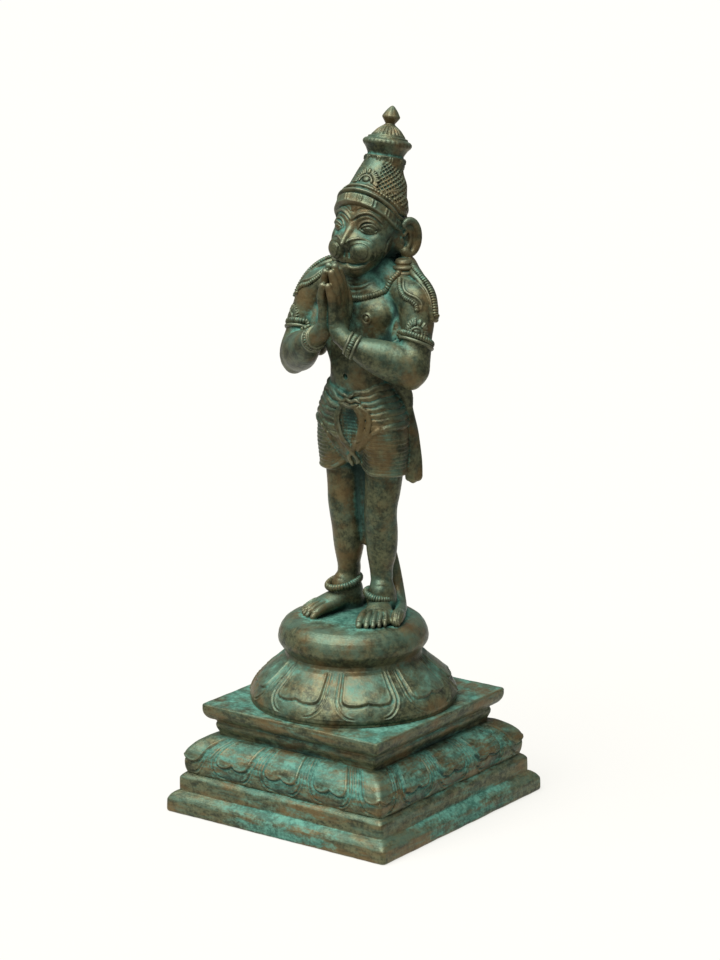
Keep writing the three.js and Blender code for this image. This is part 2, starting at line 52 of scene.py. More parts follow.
MM = 0.001
FIGURE_HEIGHT = 285

for name in ("Cube", "Light", "Camera"):
    if name in bpy.data.objects:
        bpy.data.objects.remove(bpy.data.objects[name])

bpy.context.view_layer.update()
plinth_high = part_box("square_plinth")[1]
figure_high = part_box("figure_on_lotus")[1]

# Heights above the ground of the plinth's top and the pedestal's, in millimetres.
PLINTH_TOP = round(plinth_high.z / MM, 1)
PLATFORM = figure_high.z / MM - FIGURE_HEIGHT

# The figure's left hand side and its right, as the sign of x.
HANDS = (1, -1)

# The spacing of the grids that skins are worked out on, in millimetres, the samples along a block of
# them, and how many triangles each piece may keep.
GRID_SCALE = 1.0
BODY_STEP = 0.45 * GRID_SCALE
HEAD_STEP = 0.34 * GRID_SCALE
CROWN_STEP = 0.32 * GRID_SCALE
WHOLE_STEP = 0.9
BLOCK = 16
BODY_TRIANGLES = 190000
HEAD_TRIANGLES = 110000
CROWN_TRIANGLES = 120000

# How far round a point creases and hollows are felt for, in millimetres.
CREASE_REACH = 0.95
HOLLOW_REACH = 5.4

# A distance that means nowhere near, the furthest that a grid keeps, and how far from the skin a block
# is still worked out, as a share of its half diagonal and over that.
FAR = 40.0
SKIN_DEPTH = 3.0
BLOCK_SHARE = 1.2
CARVING_ROOM = 2.0

# How far beyond its own size a shape and a limb's run are still worked out, and how far a grid reaches.
SHAPE_ROOM = 1.5
RUN_ROOM = 4
GRID_ROOM = 2


# SOLIDS AS DISTANCES


class Shape:
    """A solid as a signed distance in millimetres, and the box that it lies in."""

    def __init__(self, low, high, distance):
        self.low = np.asarray(low, float)
        self.high = np.asarray(high, float)
        self.distance = distance

    def near(self, box, margin):
        return bool(np.all(self.low - margin < box[1]) and np.all(self.high + margin > box[0]))


def smooth_min(a, b, blend):
    """The lower of two distances, rounded over where they meet."""
    if blend <= 0:
        return np.minimum(a, b)
    overlap = np.maximum(blend - np.abs(a - b), 0) / blend
    return np.minimum(a, b) - overlap * overlap * (blend / 4)


def eased(value, low, high):
    """0 below `low`, 1 above `high`, eased between."""
    t = np.clip((value - low) / (high - low), 0, 1)
    return t * t * (3 - 2 * t)


def line(distance, width):
    """1 on a line, fading to nothing within about `width` of it."""
    return np.exp(-((distance / width) ** 2))


class Sculpture:
    """Shapes added, cut and raised one after another."""

    def __init__(self, steps=()):
        self.steps = list(steps)

    def copy(self):
        return Sculpture(self.steps)

    def add(self, shape, blend=1.0):
        self.steps.append(("add", shape, blend))

    def cut(self, shape, blend=0.6):
        self.steps.append(("cut", shape, blend))

    def distance(self, p, box=None):
        d = np.full(p.shape[1], FAR, np.float32)
        for kind, shape, blend in self.steps:
            if box is not None and not shape.near(box, blend + SHAPE_ROOM):
                continue
            e = shape.distance(p, box)
            if kind == "add":
                d = smooth_min(d, e, blend)
            else:
                d = -smooth_min(-d, e, blend)
        return d

    def as_shape(self):
        added = [shape for kind, shape, _ in self.steps if kind == "add"]
        low = np.min([shape.low for shape in added], axis=0)
        high = np.max([shape.high for shape in added], axis=0)
        return Shape(low, high, self.distance)


def smooth_path(points, spacing):
    """A curve through rows of values whose first three are a point, sampled about every `spacing`."""
    points = np.asarray(points, float)
    gaps = np.linalg.norm(np.diff(points[:, :3], axis=0), axis=1)
    slopes = np.diff(points, axis=0) / gaps[:, None]
    tangents = np.empty_like(points)
    tangents[0], tangents[-1] = slopes[0], slopes[-1]
    weight = gaps[:-1, None] / (gaps[:-1, None] + gaps[1:, None])
    tangents[1:-1] = slopes[:-1] * (1 - weight) + slopes[1:] * weight
    rows = []
    for i, gap in enumerate(gaps):
        count = max(1, math.ceil(gap / spacing))
        t = (np.arange(count) / count)[:, None]
        rise = 3 * t**2 - 2 * t**3
        rows.append(
            points[i] * (1 - rise)
            + points[i + 1] * rise
            + gap * tangents[i] * (t - 2 * t**2 + t**3)
            + gap * tangents[i + 1] * (t**3 - t**2)
        )
    return np.vstack(rows + [points[-1:]])


def unit(vector):
    vector = np.asarray(vector, float)
    return vector / np.linalg.norm(vector)


def normalised(rows):
    """Each row at length 1."""
    return rows / np.maximum(np.linalg.norm(rows, axis=1), 1e-6)[:, None]


def egg_distance(length, ratio, w, d):
    """Distance to the skin of an egg of half sizes w and d, from the `length` to its middle and the
    `ratio` of that to the skin's own."""
    return np.where(ratio > 0.05, length * (1 - 1 / np.maximum(ratio, 0.05)), -np.minimum(w, d))


def limb(stations, side=(1, 0, 0), spacing=2.0, smooth=True):
    """A limb along stations [x, y, z, half width, half depth], its width measured along `side`, which is
    one direction or, without smoothing, one for each run between stations."""
    path = np.asarray(stations, float)
    if smooth and len(path) > 2:
        path = smooth_path(path, spacing)
    centres = path[:, :3]
    widths = path[:, 3]
    depths = path[:, 4] if path.shape[1] > 4 else widths
    starts = centres[:-1]
    runs = np.diff(centres, axis=0)
    squares = np.maximum((runs**2).sum(1), 1e-9)
    along = runs / np.sqrt(squares)[:, None]
    side = np.broadcast_to(np.asarray(side, float), along.shape)
    across = normalised(side - along * (along * side).sum(1)[:, None])
    upward = np.cross(along, across)
    reach = np.maximum(widths, depths)

    def runs_near(box):
        """Which runs a box may touch."""
        if box is None:
            return np.arange(len(starts))
        middle = (box[0] + box[1]) / 2
        half = np.linalg.norm(box[1] - box[0]) / 2
        t = np.clip(((middle - starts) * runs).sum(1) / squares, 0, 1)
        gap = np.linalg.norm(middle - starts - t[:, None] * runs, axis=1)
        return np.flatnonzero(gap < half + reach.max() + RUN_ROOM)

    def distance(p, box=None):
        near = runs_near(box)
        if len(near) == 0:
            return np.full(p.shape[1], FAR, np.float32)
        a = starts[near].astype(np.float32)
        ab = runs[near].astype(np.float32)
        dots = ab @ p - (a * ab).sum(1)[:, None]
        t = np.clip(dots / squares[near].astype(np.float32)[:, None], 0, 1)

        def thickness(sizes):
            change = (sizes[near + 1] - sizes[near]).astype(np.float32)
            return sizes[near].astype(np.float32)[:, None] + t * change[:, None]

        w, d = thickness(widths), thickness(depths)
        offset = [p[k] - a[:, k, None] - ab[:, k, None] * t for k in range(3)]
        length = np.sqrt(sum(part * part for part in offset))
        best = np.argmin(length - (w + d) / 2, axis=0)
        pick = (best, np.arange(p.shape[1]))
        w, d, length = w[pick], d[pick], length[pick]
        offset = [part[pick] for part in offset]

        def reached(ways):
            way = ways[near][best].astype(np.float32)
            return sum(part * way[:, k] for k, part in enumerate(offset))

        ratio = np.sqrt(
            (reached(across) / w) ** 2 + (reached(upward) / d) ** 2 + (reached(along) / ((w + d) / 2)) ** 2
        )
        return egg_distance(length, ratio, w, d)

    return Shape((centres - reach[:, None]).min(0), (centres + reach[:, None]).max(0), distance)


def ellipsoid(middle, radii, axes=None):
    """An egg about a middle. `axes` are its three own directions, as rows."""
    middle = np.asarray(middle, np.float32)
    radii = np.asarray(radii, np.float32)
    turn = np.eye(3, dtype=np.float32) if axes is None else np.asarray(axes, np.float32)
    reach = np.sqrt(((turn.T * radii) ** 2).sum(1))

    def distance(p, box=None):
        q = turn @ (p - middle[:, None])
        inner = np.sqrt(((q / radii[:, None]) ** 2).sum(0))
        outer = np.sqrt(((q / radii[:, None] ** 2) ** 2).sum(0))
        return inner * (inner - 1) / np.maximum(outer, 1e-4)

    return Shape(middle - reach, middle + reach, distance)


def facing(direction, upright=(0, 0, 1)):
    """Axes as rows: across, up and out along `direction`."""
    out = unit(direction)
    across = unit(np.cross(upright, out))
    return np.array([across, np.cross(out, across), out])


def stack(levels, power=2.0, x=0.0):
    """Level ovals one above the other, from [z, y, half width, half depth]."""
    rows = np.array([[level[0], 0, 0, *level[1:]] for level in levels], float)
    table = smooth_path(rows, 1.0)
    heights = table[:, 0]
    order = np.argsort(heights)
    heights, middles, widths, depths = (table[order, k] for k in (0, 3, 4, 5))

    def distance(p, box=None):
        z = np.clip(p[2], heights[0], heights[-1])
        w = np.interp(z, heights, widths)
        d = np.interp(z, heights, depths)
        ox = p[0] - x
        oy = p[1] - np.interp(z, heights, middles)
        ratio = (np.abs(ox / w) ** power + np.abs(oy / d) ** power) ** (1 / power)
        side = egg_distance(np.hypot(ox, oy), ratio, w, d)
        return np.maximum(side, np.maximum(heights[0] - p[2], p[2] - heights[-1])).astype(np.float32)

    low = [x - widths.max(), (middles - depths).min(), heights[0]]
    high = [x + widths.max(), (middles + depths).max(), heights[-1]]
    return Shape(low, high, distance)


def front_of(axis):
    """The direction square to a leaning axis that faces the figure's front."""
    return unit(np.array([0, -1, 0]) + axis * axis[1])


def turned(profile, foot, lean, carve=None):
    """A form turned about the axis from `foot` along `lean`, from [radius, height] starting and ending on
    the axis. carve(angle, height, radius) says how much its surface is raised, with angle 0 in front."""
    profile = np.asarray(profile, np.float32)
    foot = np.asarray(foot, np.float32)
    axis = unit(lean).astype(np.float32)
    front = front_of(axis).astype(np.float32)
    left = np.cross(front, axis).astype(np.float32)
    starts, runs = profile[:-1], np.diff(profile, axis=0)
    squares = np.maximum((runs**2).sum(1), 1e-9)

    def distance(p, box=None):
        q = p - foot[:, None]
        h = axis @ q
        ahead, aside = front @ q, left @ q
        r = np.hypot(ahead, aside)
        best = np.full(p.shape[1], 1e9, np.float32)
        inside = np.zeros(p.shape[1], bool)
        for (ar, ah), (dr, dh), square in zip(starts, runs, squares):
            t = np.clip(((r - ar) * dr + (h - ah) * dh) / square, 0, 1)
            best = np.minimum(best, (r - ar - t * dr) ** 2 + (h - ah - t * dh) ** 2)
            if dh != 0:
                crosses = (ah > h) != (ah + dh > h)
                inside ^= crosses & (r < ar + dr * (h - ah) / dh)
        d = np.where(inside, -np.sqrt(best), np.sqrt(best))
        if carve is not None:
            d = d - carve(np.arctan2(aside, ahead), h, r)
        return d.astype(np.float32)

    widest = profile[:, 0].max()
    ends = np.array([foot + axis * profile[:, 1].min(), foot + axis * profile[:, 1].max()])
    return Shape(ends.min(0) - widest, ends.max(0) + widest, distance)


def textured(shape, height):
    """A shape whose surface is raised by height(p)."""

    def distance(p, box=None):
        return shape.distance(p, box) - height(p)

    return Shape(shape.low - 1, shape.high + 1, distance)


def below(point, direction):
    """All that lies under the plane through a point, facing a direction."""
    normal = unit(direction).astype(np.float32)
    point = np.asarray(point, np.float32)

    def distance(p, box=None):
        return normal @ (p - point[:, None])

    return Shape(point - 2 * FAR, point + 2 * FAR, distance)


def mirrored(points, hand):
    """Rows that start with x, on the figure's left (+1) or right (-1)."""
    rows = np.array(points, float)
    rows[..., 0] *= hand
    return rows


# How far aside a slope is felt, and the places that it is felt at.
NUDGE = 0.15
AROUND = np.vstack([np.zeros(3), np.eye(3), -np.eye(3)]) * NUDGE


def felt(p, body):
    """A body's distance and slope at each column of p."""
    box = (p.min(1) - 2, p.max(1) + 2)
    spread = (p[:, None, :] + AROUND.T[:, :, None]).reshape(3, -1)
    d = body.distance(spread.astype(np.float32), box).reshape(len(AROUND), -1)
    return d[0], (d[1:4] - d[4:7]) / (2 * NUDGE)


def settle(points, body, lift=0.0):
    """Points moved straight onto a body's skin, or `lift` above it."""
    p = np.asarray(points, float)[:, :3].T.copy()
    for _ in range(5):
        d, slope = felt(p, body)
        p -= (d - lift) * slope / np.maximum((slope**2).sum(0), 0.1)
    return p.T


def outward(points, body):
    """The skin's directions at points."""
    return normalised(felt(np.asarray(points, float).T, body)[1].T)


def thinning(count, taper):
    """A share for each point of a line: `taper` at its ends, and 1 from an eighth of the way in."""
    place = np.linspace(0, 1, count)
    return taper + (1 - taper) * np.clip(np.minimum(place, 1 - place) * 8, 0, 1)


def ridge(points, radius, body, lift=0.0, spacing=1.2, taper=0.4):
    """A raised line drawn on a body's skin. Its ends thin out to the share `taper`."""
    path = settle(smooth_path(points, spacing), body, lift)
    return limb(np.column_stack([path, radius * thinning(len(path), taper)]), smooth=False)


def strip(points, half_width, half_depth, body, lift=0.0, spacing=1.2, taper=0.5):
    """A flat band laid on a body's skin."""
    path = settle(smooth_path(points, spacing), body, lift)
    sides = np.cross(np.diff(path, axis=0), outward((path[1:] + path[:-1]) / 2, body))
    widths = half_width * thinning(len(path), taper)
    depths = np.full(len(path), half_depth)
    return limb(np.column_stack([path, widths, depths]), side=sides, smooth=False)


def hoop(points, thick):
    """A closed line of one thickness through points."""
    return limb(np.column_stack([points, np.full(len(points), thick)]), smooth=False)


def circle(middle, normal, radius, count=40, squash=1.0, start=(0, -1, 0)):
    """Points round a middle, square to `normal`, that start towards `start` and close on themselves."""
    normal = unit(normal)
    first = unit(np.asarray(start, float) - normal * np.dot(start, normal))
    second = np.cross(normal, first)
    turns = np.linspace(0, 2 * math.pi, count + 1)[:, None]
    return np.asarray(middle) + radius * (np.cos(turns) * first + squash * np.sin(turns) * second)


# THE FIGURE'S BODY


def leg(hand):
    stations = [
        [11.5, 12.5, 3, 5.6, 6], [11.4, 12.2, 10, 5.6, 6.4], [11.3, 11.8, 18, 5.4, 6.2],
        [11.4, 11.5, 26, 6.4, 6.6], [11.6, 12.0, 38, 8.6, 8.8], [11.8, 11.6, 48, 9.2, 9.2],
        [12.3, 10.2, 57, 9.2, 9.2], [12.8, 9.8, 64, 9.4, 9.4], [13.2, 11.0, 72, 10.0, 10],
        [14.0, 12.0, 88, 11.2, 11],
    ]
    return limb(mirrored(stations, hand), spacing=3)


# How far each foot is turned out, and where both ankles stand.
SPLAY = {1: math.radians(26), -1: math.radians(15)}
ANKLE = (11.5, 12.5)


def foot_place(hand):
    """A function from (forward, aside, z) in a splayed foot's own frame to a point, and the way aside."""
    splay = SPLAY[hand]
    ahead = np.array([math.sin(splay) * hand, -math.cos(splay), 0])
    aside_axis = np.array([math.cos(splay) * hand, math.sin(splay), 0])
    ankle = np.array([ANKLE[0] * hand, ANKLE[1], 0])

    def place(forward, aside, z):
        return ankle + ahead * forward + aside_axis * aside + np.array([0, 0, z])

    return place, aside_axis


# Each toe's half width, its place aside and how far forward it ends, from the big toe outwards.
TOES = ((2.25, -7.2, 33.4), (1.9, -3.1, 33.6), (1.75, 0.3, 32.8), (1.6, 3.3, 31.2), (1.4, 6.0, 29.2))


def foot(hand):
    place, aside_axis = foot_place(hand)
    body = Sculpture()
    sole = [
        [*place(-8.5, 0, 3.6), 4.2, 4.0], [*place(-4, 0, 5.4), 5.6, 5.8],
        [*place(4, -0.2, 6.6), 6.4, 7.0], [*place(11, 0.0, 5.6), 7.2, 6.0],
        [*place(17, 0.8, 4.2), 8.4, 4.8], [*place(22.5, 1.0, 2.8), 9.0, 3.1],
    ]
    body.add(limb(sole, side=aside_axis), 0)
    ankle = [
        [*place(1.5, 0, 3), 8.0, 9.0], [*place(2.0, 0, 10), 8.4, 9.4],
        [*place(2.6, 0.2, 13.6), 7.5, 8.8], [*place(1.2, 0.1, 18), 5.9, 7.0],
        [*place(0, 0, 23), 5.6, 6.2],
    ]
    body.add(limb(ankle, side=aside_axis), 1.2)
    for width, aside, reach in TOES:
        toe = [
            [*place(18, aside * 0.9, 4.8), width * 0.85, 2.6],
            [*place(22, aside * 0.96, 4.8), width * 0.95, 2.7],
            [*place(reach - 6.4, aside * 1.02, 4.2), width, 2.7],
            [*place(reach - 2.6, aside * 1.06, 2.9), width, 2.2],
            [*place(reach - 0.5, aside * 1.07, 1.7), width * 0.75, 1.4],
        ]
        body.add(limb(toe, side=aside_axis, spacing=1.5), 0.6)
    for width, aside, reach in TOES:
        middle = place(reach - 1.6, aside * 1.06, 4.4)
        nail = ellipsoid(middle, (width * 0.6, 1.3, 0.4), facing((0, 0, 1), aside_axis))
        body.add(nail, 0.3)
    return body.as_shape()


def trunk():
    levels = [
        [88, 12, 13, 11], [96, 12, 24, 14.6], [104.5, 11, 28.4, 16.2], [113.5, 10.6, 27.6, 15.8],
        [122, 9.8, 24.4, 14.2], [131, 9, 20, 12.8], [137, 8.4, 17.2, 12.4], [142, 8, 16.8, 12.8],
        [150, 8.6, 20.4, 12.4], [160, 9.6, 25.6, 12.8], [171, 10.6, 26.8, 13.2],
        [180.5, 12.8, 26.2, 12.4], [187, 13.4, 20, 11.6], [191.5, 13, 13.4, 11],
        [196, 12.4, 10.6, 10.6], [204, 12, 10, 10.6],
    ]
    return stack(levels, power=2.2)


# The left elbow is carried a little higher than the right.
ELBOW_RISE = {1: 1.6, -1: 0.0}


def upper_arm(hand):
    rise = ELBOW_RISE[hand]
    stations = [
        [18, 16.6, 185.5, 7], [26, 16.4, 185, 9.6], [33.2, 15.2, 181.6, 10.8], [36.8, 12.0, 173, 9.8],
        [38.8, 8.6, 164, 8.7], [39.8, 6, 156, 8.8], [40.4, 3.4, 149 + rise, 9.2],
        [40.8, 1.6, 143.4 + rise, 8.0], [40.8, 1.2, 140.6 + rise, 6.2],
    ]
    return limb(mirrored(stations, hand), spacing=2.5)


def forearm(hand):
    rise = ELBOW_RISE[hand]
    stations = [
        [42.4, 4.0, 145.0 + rise, 6.8, 6.4], [37.4, 0.6, 147.4 + rise, 10.6, 9.6],
        [29, -6.2, 151.6 + rise * 0.7, 10.6, 9.2], [22, -11.4, 155.6 + rise * 0.4, 8.6, 8.0],
        [16, -15.4, 159.4, 6.2, 6.4], [11, -17.6, 162.6, 5.2, 5.6], [6.6, -18.2, 167.0, 4.6, 5.0],
    ]
    return limb(mirrored(stations, hand), side=(0, 0, 1), spacing=2.5)


# Fingers from root to tip, with the joint that bends most between: little, ring, middle, index, thumb.
FINGERS = [
    [[3.9, -20.2, 180], [3.6, -21.6, 187], [1.9, -22.6, 193.6], 2.6],
    [[4.2, -17.2, 183], [3.8, -18.6, 192.5], [2.0, -19.8, 200.8], 2.7],
    [[4.2, -14.0, 184], [3.7, -15.2, 194.5], [2.0, -16.6, 203.8], 2.7],
    [[4.0, -10.8, 183], [3.4, -11.6, 192.5], [2.0, -12.4, 201.0], 2.7],
    [[4.4, -8.6, 174], [4.4, -7.4, 183], [2.6, -7.8, 191.5], 2.6],
]


def hand_shape(hand):
    body = Sculpture()
    palm = [
        [6.0, -18.0, 165.5, 5.0, 4.4], [4.8, -17.0, 168.5, 6.6, 4.6], [3.9, -15.6, 172, 8.0, 4.3],
        [3.5, -15.2, 178, 8.2, 3.9], [3.2, -15.4, 184, 7.6, 3.3], [2.8, -15.8, 189, 6.0, 2.4],
    ]
    body.add(limb(mirrored(palm, hand), side=(0, 1, 0)), 0)
    for root, bend, tip, thick in FINGERS:
        finger = [[*root, thick * 0.9], [*bend, thick], [*tip, thick * 0.74]]
        body.add(limb(mirrored(finger, hand), side=(0, 1, 0), spacing=1.5), 0.6)
    return body.as_shape()


def base_body():
    """The bare forms that everything else is drawn on."""
    body = Sculpture()
    body.add(trunk(), 0)
    for hand in HANDS:
        breast = ellipsoid((11.8 * hand, 4.6, 174.6), (12.6, 7.2, 9.2))
        body.add(breast, 2.6)
    belly = ellipsoid((0, 2.6, 139), (13.5, 7.6, 10.5))
    body.add(belly, 4)
    for hand in HANDS:
        body.add(upper_arm(hand), 2.6)
        armpit = ellipsoid((28.4 * hand, 9.5, 160), (5.6, 8, 15))
        body.add(armpit, 2.0)
        shoulder = [[7, 18, 200, 7], [15, 18, 192.5, 7.4], [24, 17.2, 187.4, 8.4]]
        body.add(limb(mirrored(shoulder, hand)), 3)
    for hand in HANDS:
        body.add(forearm(hand), 2.2)
    cloth_between_legs = limb([[0, 14, 40, 2.4, 3], [0, 14, 50, 3.6, 4], [0, 14, 90, 6, 6]])
    body.add(cloth_between_legs, 2.5)
    for hand in HANDS:
        body.add(leg(hand), 2.5)
        body.add(foot(hand), 1.8)
    for hand in HANDS:
        body.add(hand_shape(hand), 0.9)
    return body


# THE HEAD


def skull():
    levels = [
        [194.5, 7.0, 5.0, 5.5], [197.5, 7.0, 8.4, 8.6], [201, 8.2, 11.6, 10.8], [206, 10, 14.4, 12.4],
        [213, 13, 16.8, 14.4], [222, 17, 18, 16.4], [232, 20.3, 18.2, 17.4], [242, 24, 16.5, 16],
    ]
    return stack(levels, power=2.15)


def bare_head():
    """The skull, snout, cheeks and sunk eye sockets, cut away under the crown's band."""
    head = Sculpture()
    head.add(skull(), 0)
    for middle, radii, blend in (
        ((0, 24, 216), (17.2, 14, 20), 4), ((0, 4.4, 205.8), (8.4, 7.2, 6.4), 2.5),
        ((0, 4.2, 199.6), (7.6, 6.8, 4.2), 2), ((0, 2.6, 214.6), (9.6, 7.4, 6.4), 2.5),
    ):
        head.add(ellipsoid(middle, radii), blend)
    for hand in HANDS:
        cheek = ellipsoid((11.8 * hand, 9.4, 213.4), (6.0, 6.8, 7.6))
        head.add(cheek, 3)
        snout = ellipsoid((7.8 * hand, 2.4, 209.0), (6.6, 5.7, 5.0), facing((0.5 * hand, -1, 0.05)))
        head.add(snout, 1.6)
    nose = [
        [0, 4.8, 229, 2.6, 2.0], [0, 1.6, 223, 2.5, 2.2], [0, -2.4, 219.0, 1.9, 2.1],
        [0, -5.4, 216.2, 1.6, 1.8], [0, -7.2, 214.8, 1.0, 1.1],
    ]
    head.add(limb(nose, spacing=1.2), 1.6)
    for hand in HANDS:
        socket = ellipsoid((9.4 * hand, -0.8, 225.8), (7.6, 4.9, 4.3), facing((0.45 * hand, -1, 0)))
        head.cut(socket, 1.6)
        temple = ellipsoid((13.4 * hand, 0.4, 221.6), (5.2, 3.6, 4.4), facing((0.8 * hand, -1, 0)))
        head.cut(temple, 1.8)
    under_band = [[17.4, 1.0], [24, 1.0], [24, 18], [16, 18], [17.4, 1.0]]
    head.cut(turned(under_band, CROWN_FOOT, CROWN_LEAN), 0.2)
    return head


def add_lines(head, base, lines, hand):
    """Raised or cut lines on a base, from (action, points, radius, lift, blend)."""
    for action, points, radius, lift, blend in lines:
        made = ridge(mirrored(points, hand), radius, base, lift, spacing=0.9)
        if action == "add":
            head.add(made, blend)
        else:
            head.cut(made, blend)


BROW = [
    [0.5, 1.4, 227.2], [2.4, 0.9, 228.8], [4.4, 0.9, 230.4], [7.1, 1.1, 231.6], [9.8, 2.8, 231.8],
    [12.4, 5.2, 230.4], [14.8, 7.4, 227.6], [16, 9.8, 224.6],
]
UPPER_LID = [
    [4.6, 1.6, 221.9], [5.4, 1.6, 223.8], [6.9, 2.2, 225.6], [9.4, 3.0, 226.5], [11.9, 5, 225.9],
    [13.9, 6.6, 224.0], [15.1, 8.0, 221.7],
]
INNER_LID = [
    [5.9, 1.8, 221.9], [7.5, 2.2, 223.5], [9.7, 3.0, 224.2], [11.7, 4.8, 223.7], [13.8, 6.4, 222.1],
]
LOWER_LID = [
    [5.7, 1.8, 221.8], [7.8, 2.0, 220.9], [10.1, 3.2, 220.4], [12.3, 5.0, 220.7], [14.2, 6.8, 221.5],
]
BROW_LINE = [
    [0.3, 1.6, 230.6], [2.6, 1.6, 232.4], [6.2, 2.6, 234.0], [10.0, 4.4, 234.2], [13.6, 7.4, 232.4],
    [16.2, 10.2, 229.4],
]
PAD_LINE = [
    [1.2, -5.6, 214.9], [2.6, -4.9, 216.3], [5.0, -3.8, 217.6], [8.2, -1.6, 218.0], [12.0, 0.7, 216.4],
    [14.8, 2.4, 212.4], [14.9, 3.6, 208.4], [13.4, 3.8, 205.2],
]
JAW_LINE = [
    [17.2, 13.9, 216.4], [16.6, 10.4, 214.2], [15.8, 9.4, 210.6], [15.0, 10.2, 206.8],
    [13.8, 12.0, 203.6],
]
MOUTH = [[0, -3.2, 203.2], [3.9, -3.0, 202.4], [7.3, -1.9, 202.5], [10.6, 0.4, 203.6], [13, 2.4, 205.4]]
LIP = [[0, -3.2, 201.2], [3.9, -2.6, 200.6], [7.6, -1.0, 201.0], [10.4, 1.4, 202.2]]


# What is drawn on the bare head, and round the eyeballs: raised or cut, the points, the line's radius,
# its lift off the skin and its blend.
FACE_LINES = (
    ("add", BROW, 0.8, -0.1, 0.6),
    ("add", PAD_LINE, 0.72, 0.2, 0.4),
    ("cut", BROW_LINE, 0.4, 0.0, 0.3),
    ("cut", np.array(BROW) - (0, 0.2, 1.5), 0.6, 0.0, 0.4),
    ("cut", JAW_LINE, 1.0, 0.0, 0.3),
    ("cut", MOUTH, 0.85, -0.1, 0.4),
    ("add", LIP, 0.8, -0.2, 1.0),
)
EYE_LINES = (
    ("add", UPPER_LID, 0.7, 0.15, 0.3),
    ("add", INNER_LID, 0.45, 0.2, 0.2),
    ("cut", np.array(INNER_LID) - (0, 0, 1.0), 0.5, 0.1, 0.2),
    ("add", LOWER_LID, 0.5, 0.1, 0.3),
)
LIP_LINES = (("cut", [[1.4, -5.4, 212.4], [1.6, -5.2, 209.4], [1.9, -4.8, 206.4]], 0.5, 0.0, 0.4),)


def eyeball(hand):
    return ellipsoid((9.9 * hand, 5.3, 222.4), (4.9, 3.2, 3.3), facing((0.55 * hand, -1, -0.05)))


def add_muzzle(head, base, hand):
    """One round pad with a line cut round it, its nostril and the line down to the lip."""
    out = np.array([0.6 * hand, -1, 0])
    head.add(ellipsoid((8.6 * hand, 0.0, 210.2), (6.9, 6.0, 4.7), facing(out)), 1.2)
    nostril = ellipsoid((1.5 * hand, -6.0, 214.2), (0.7, 0.9, 0.7))
    head.cut(nostril, 0.4)
    edge = circle((8.6 * hand, -4.2, 210.2), out, 6.1, squash=0.9)
    head.cut(hoop(settle(edge, head, 0.1), 0.7), 0.3)
    add_lines(head, base, LIP_LINES, hand)


def add_face(head):
    """Brows, eyes, nose, cheek pads and mouth."""
    base = bare_head()
    for hand in HANDS:
        head.add(eyeball(hand), 0.4)
    eyed = head.copy()
    for hand in HANDS:
        add_lines(head, base, FACE_LINES, hand)
        add_lines(head, eyed, EYE_LINES, hand)
        pupil = settle([[9.9 * hand, 1.4, 222.3]], eyed, 1.0)[0]
        head.cut(ellipsoid(pupil, (1.3, 1.3, 1.3)), 0.2)
        add_muzzle(head, base, hand)
    groove_under_nose = ellipsoid((0, -5.6, 209.2), (1.6, 2.2, 4.6))
    head.cut(groove_under_nose, 1.0)
    mark = [[-2.0, 2.2, 234.4], [-1.4, 1.6, 232.6], [0, 1.2, 231.8], [1.4, 1.6, 232.6], [2.0, 2.2, 234.4]]
    head.cut(ridge(mark, 0.4, base, 0.05, taper=0.7), 0.3)
    return head


EAR_MIDDLE = np.array([19.4, 27.2, 215.2])

# The ear's inner folds, as routes of (behind, above) its middle, and their radii.
EAR_FOLDS = (
    ([(-2.8, 6.2), (-0.4, 5.4), (1.3, 3.0), (1.9, 0.0), (1.5, -2.9), (0.2, -5.2), (-1.8, -6.4)], 1.35),
    ([(-0.6, 4.0), (-2.0, 1.6), (-3.6, 1.4), (-4.6, 2.8)], 1.0),
    ([(-4.4, -0.6), (-3.4, -3.0), (-4.6, -5.0)], 1.2),
)


def add_ear(head, hand):
    out = unit((hand, -0.42, 0))
    back = unit(np.cross((0, 0, 1), out)) * hand
    middle = EAR_MIDDLE * (hand, 1, 1) + out * 0.4

    def at(behind, z, reach=0.0):
        return middle + back * behind + np.array([0, 0, z]) + out * reach

    axes = np.array([back, [0, 0, 1], out])
    head.add(ellipsoid(at(-0.2, 0, -1.4), (7.2, 10.2, 3.4), axes), 1.2)
    head.add(ellipsoid(at(-5.4, 1.0, -2.2), (4.5, 9.5, 3.2), axes), 2.0)
    head.cut(ellipsoid(at(-1.4, -0.4, 2.8), (4.9, 7.6, 3.3), axes), 0.8)
    turns = np.radians(np.linspace(128, -104, 20))
    rim = [[*at(5.8 * math.cos(a) + 0.4, 9.4 * math.sin(a), 1.0), 2.0 + 0.3 * math.cos(a)] for a in turns]
    head.add(limb(rim), 0.5)
    for route, radius in EAR_FOLDS:
        head.add(limb([[*at(b, z, 0.2), radius] for b, z in route], spacing=1.5), 0.5)
    lobe = [[*at(-2.0, -7.8, 0.2), 3.0], [*at(-1.4, -10, 0.4), 2.8]]
    head.add(limb(lobe), 1.0)


# The earring's profile is drawn a little small, and is this much wider and taller.
EARRING_SCALE = (1.22, 1.2)


def earring(hand):
    """A drop of three rounded rings over a point."""
    profile = [
        [0, 0], [0.9, 0.5], [2.6, 2.8], [4.8, 5.0], [5.4, 5.6], [5.4, 6.3], [4.6, 6.6], [4.6, 7.0],
        [5.6, 7.4], [5.9, 8.2], [5.6, 9.0], [4.7, 9.3], [4.7, 9.7], [5.2, 10.1], [5.4, 10.8],
        [5.0, 11.6], [4.0, 11.9], [4.0, 12.4], [4.2, 13.0], [3.4, 14.4], [0, 15],
    ]
    return turned(np.array(profile) * EARRING_SCALE, (21.0 * hand, 21.6, 186.6), (0, 0, 1))


# THE CROWN


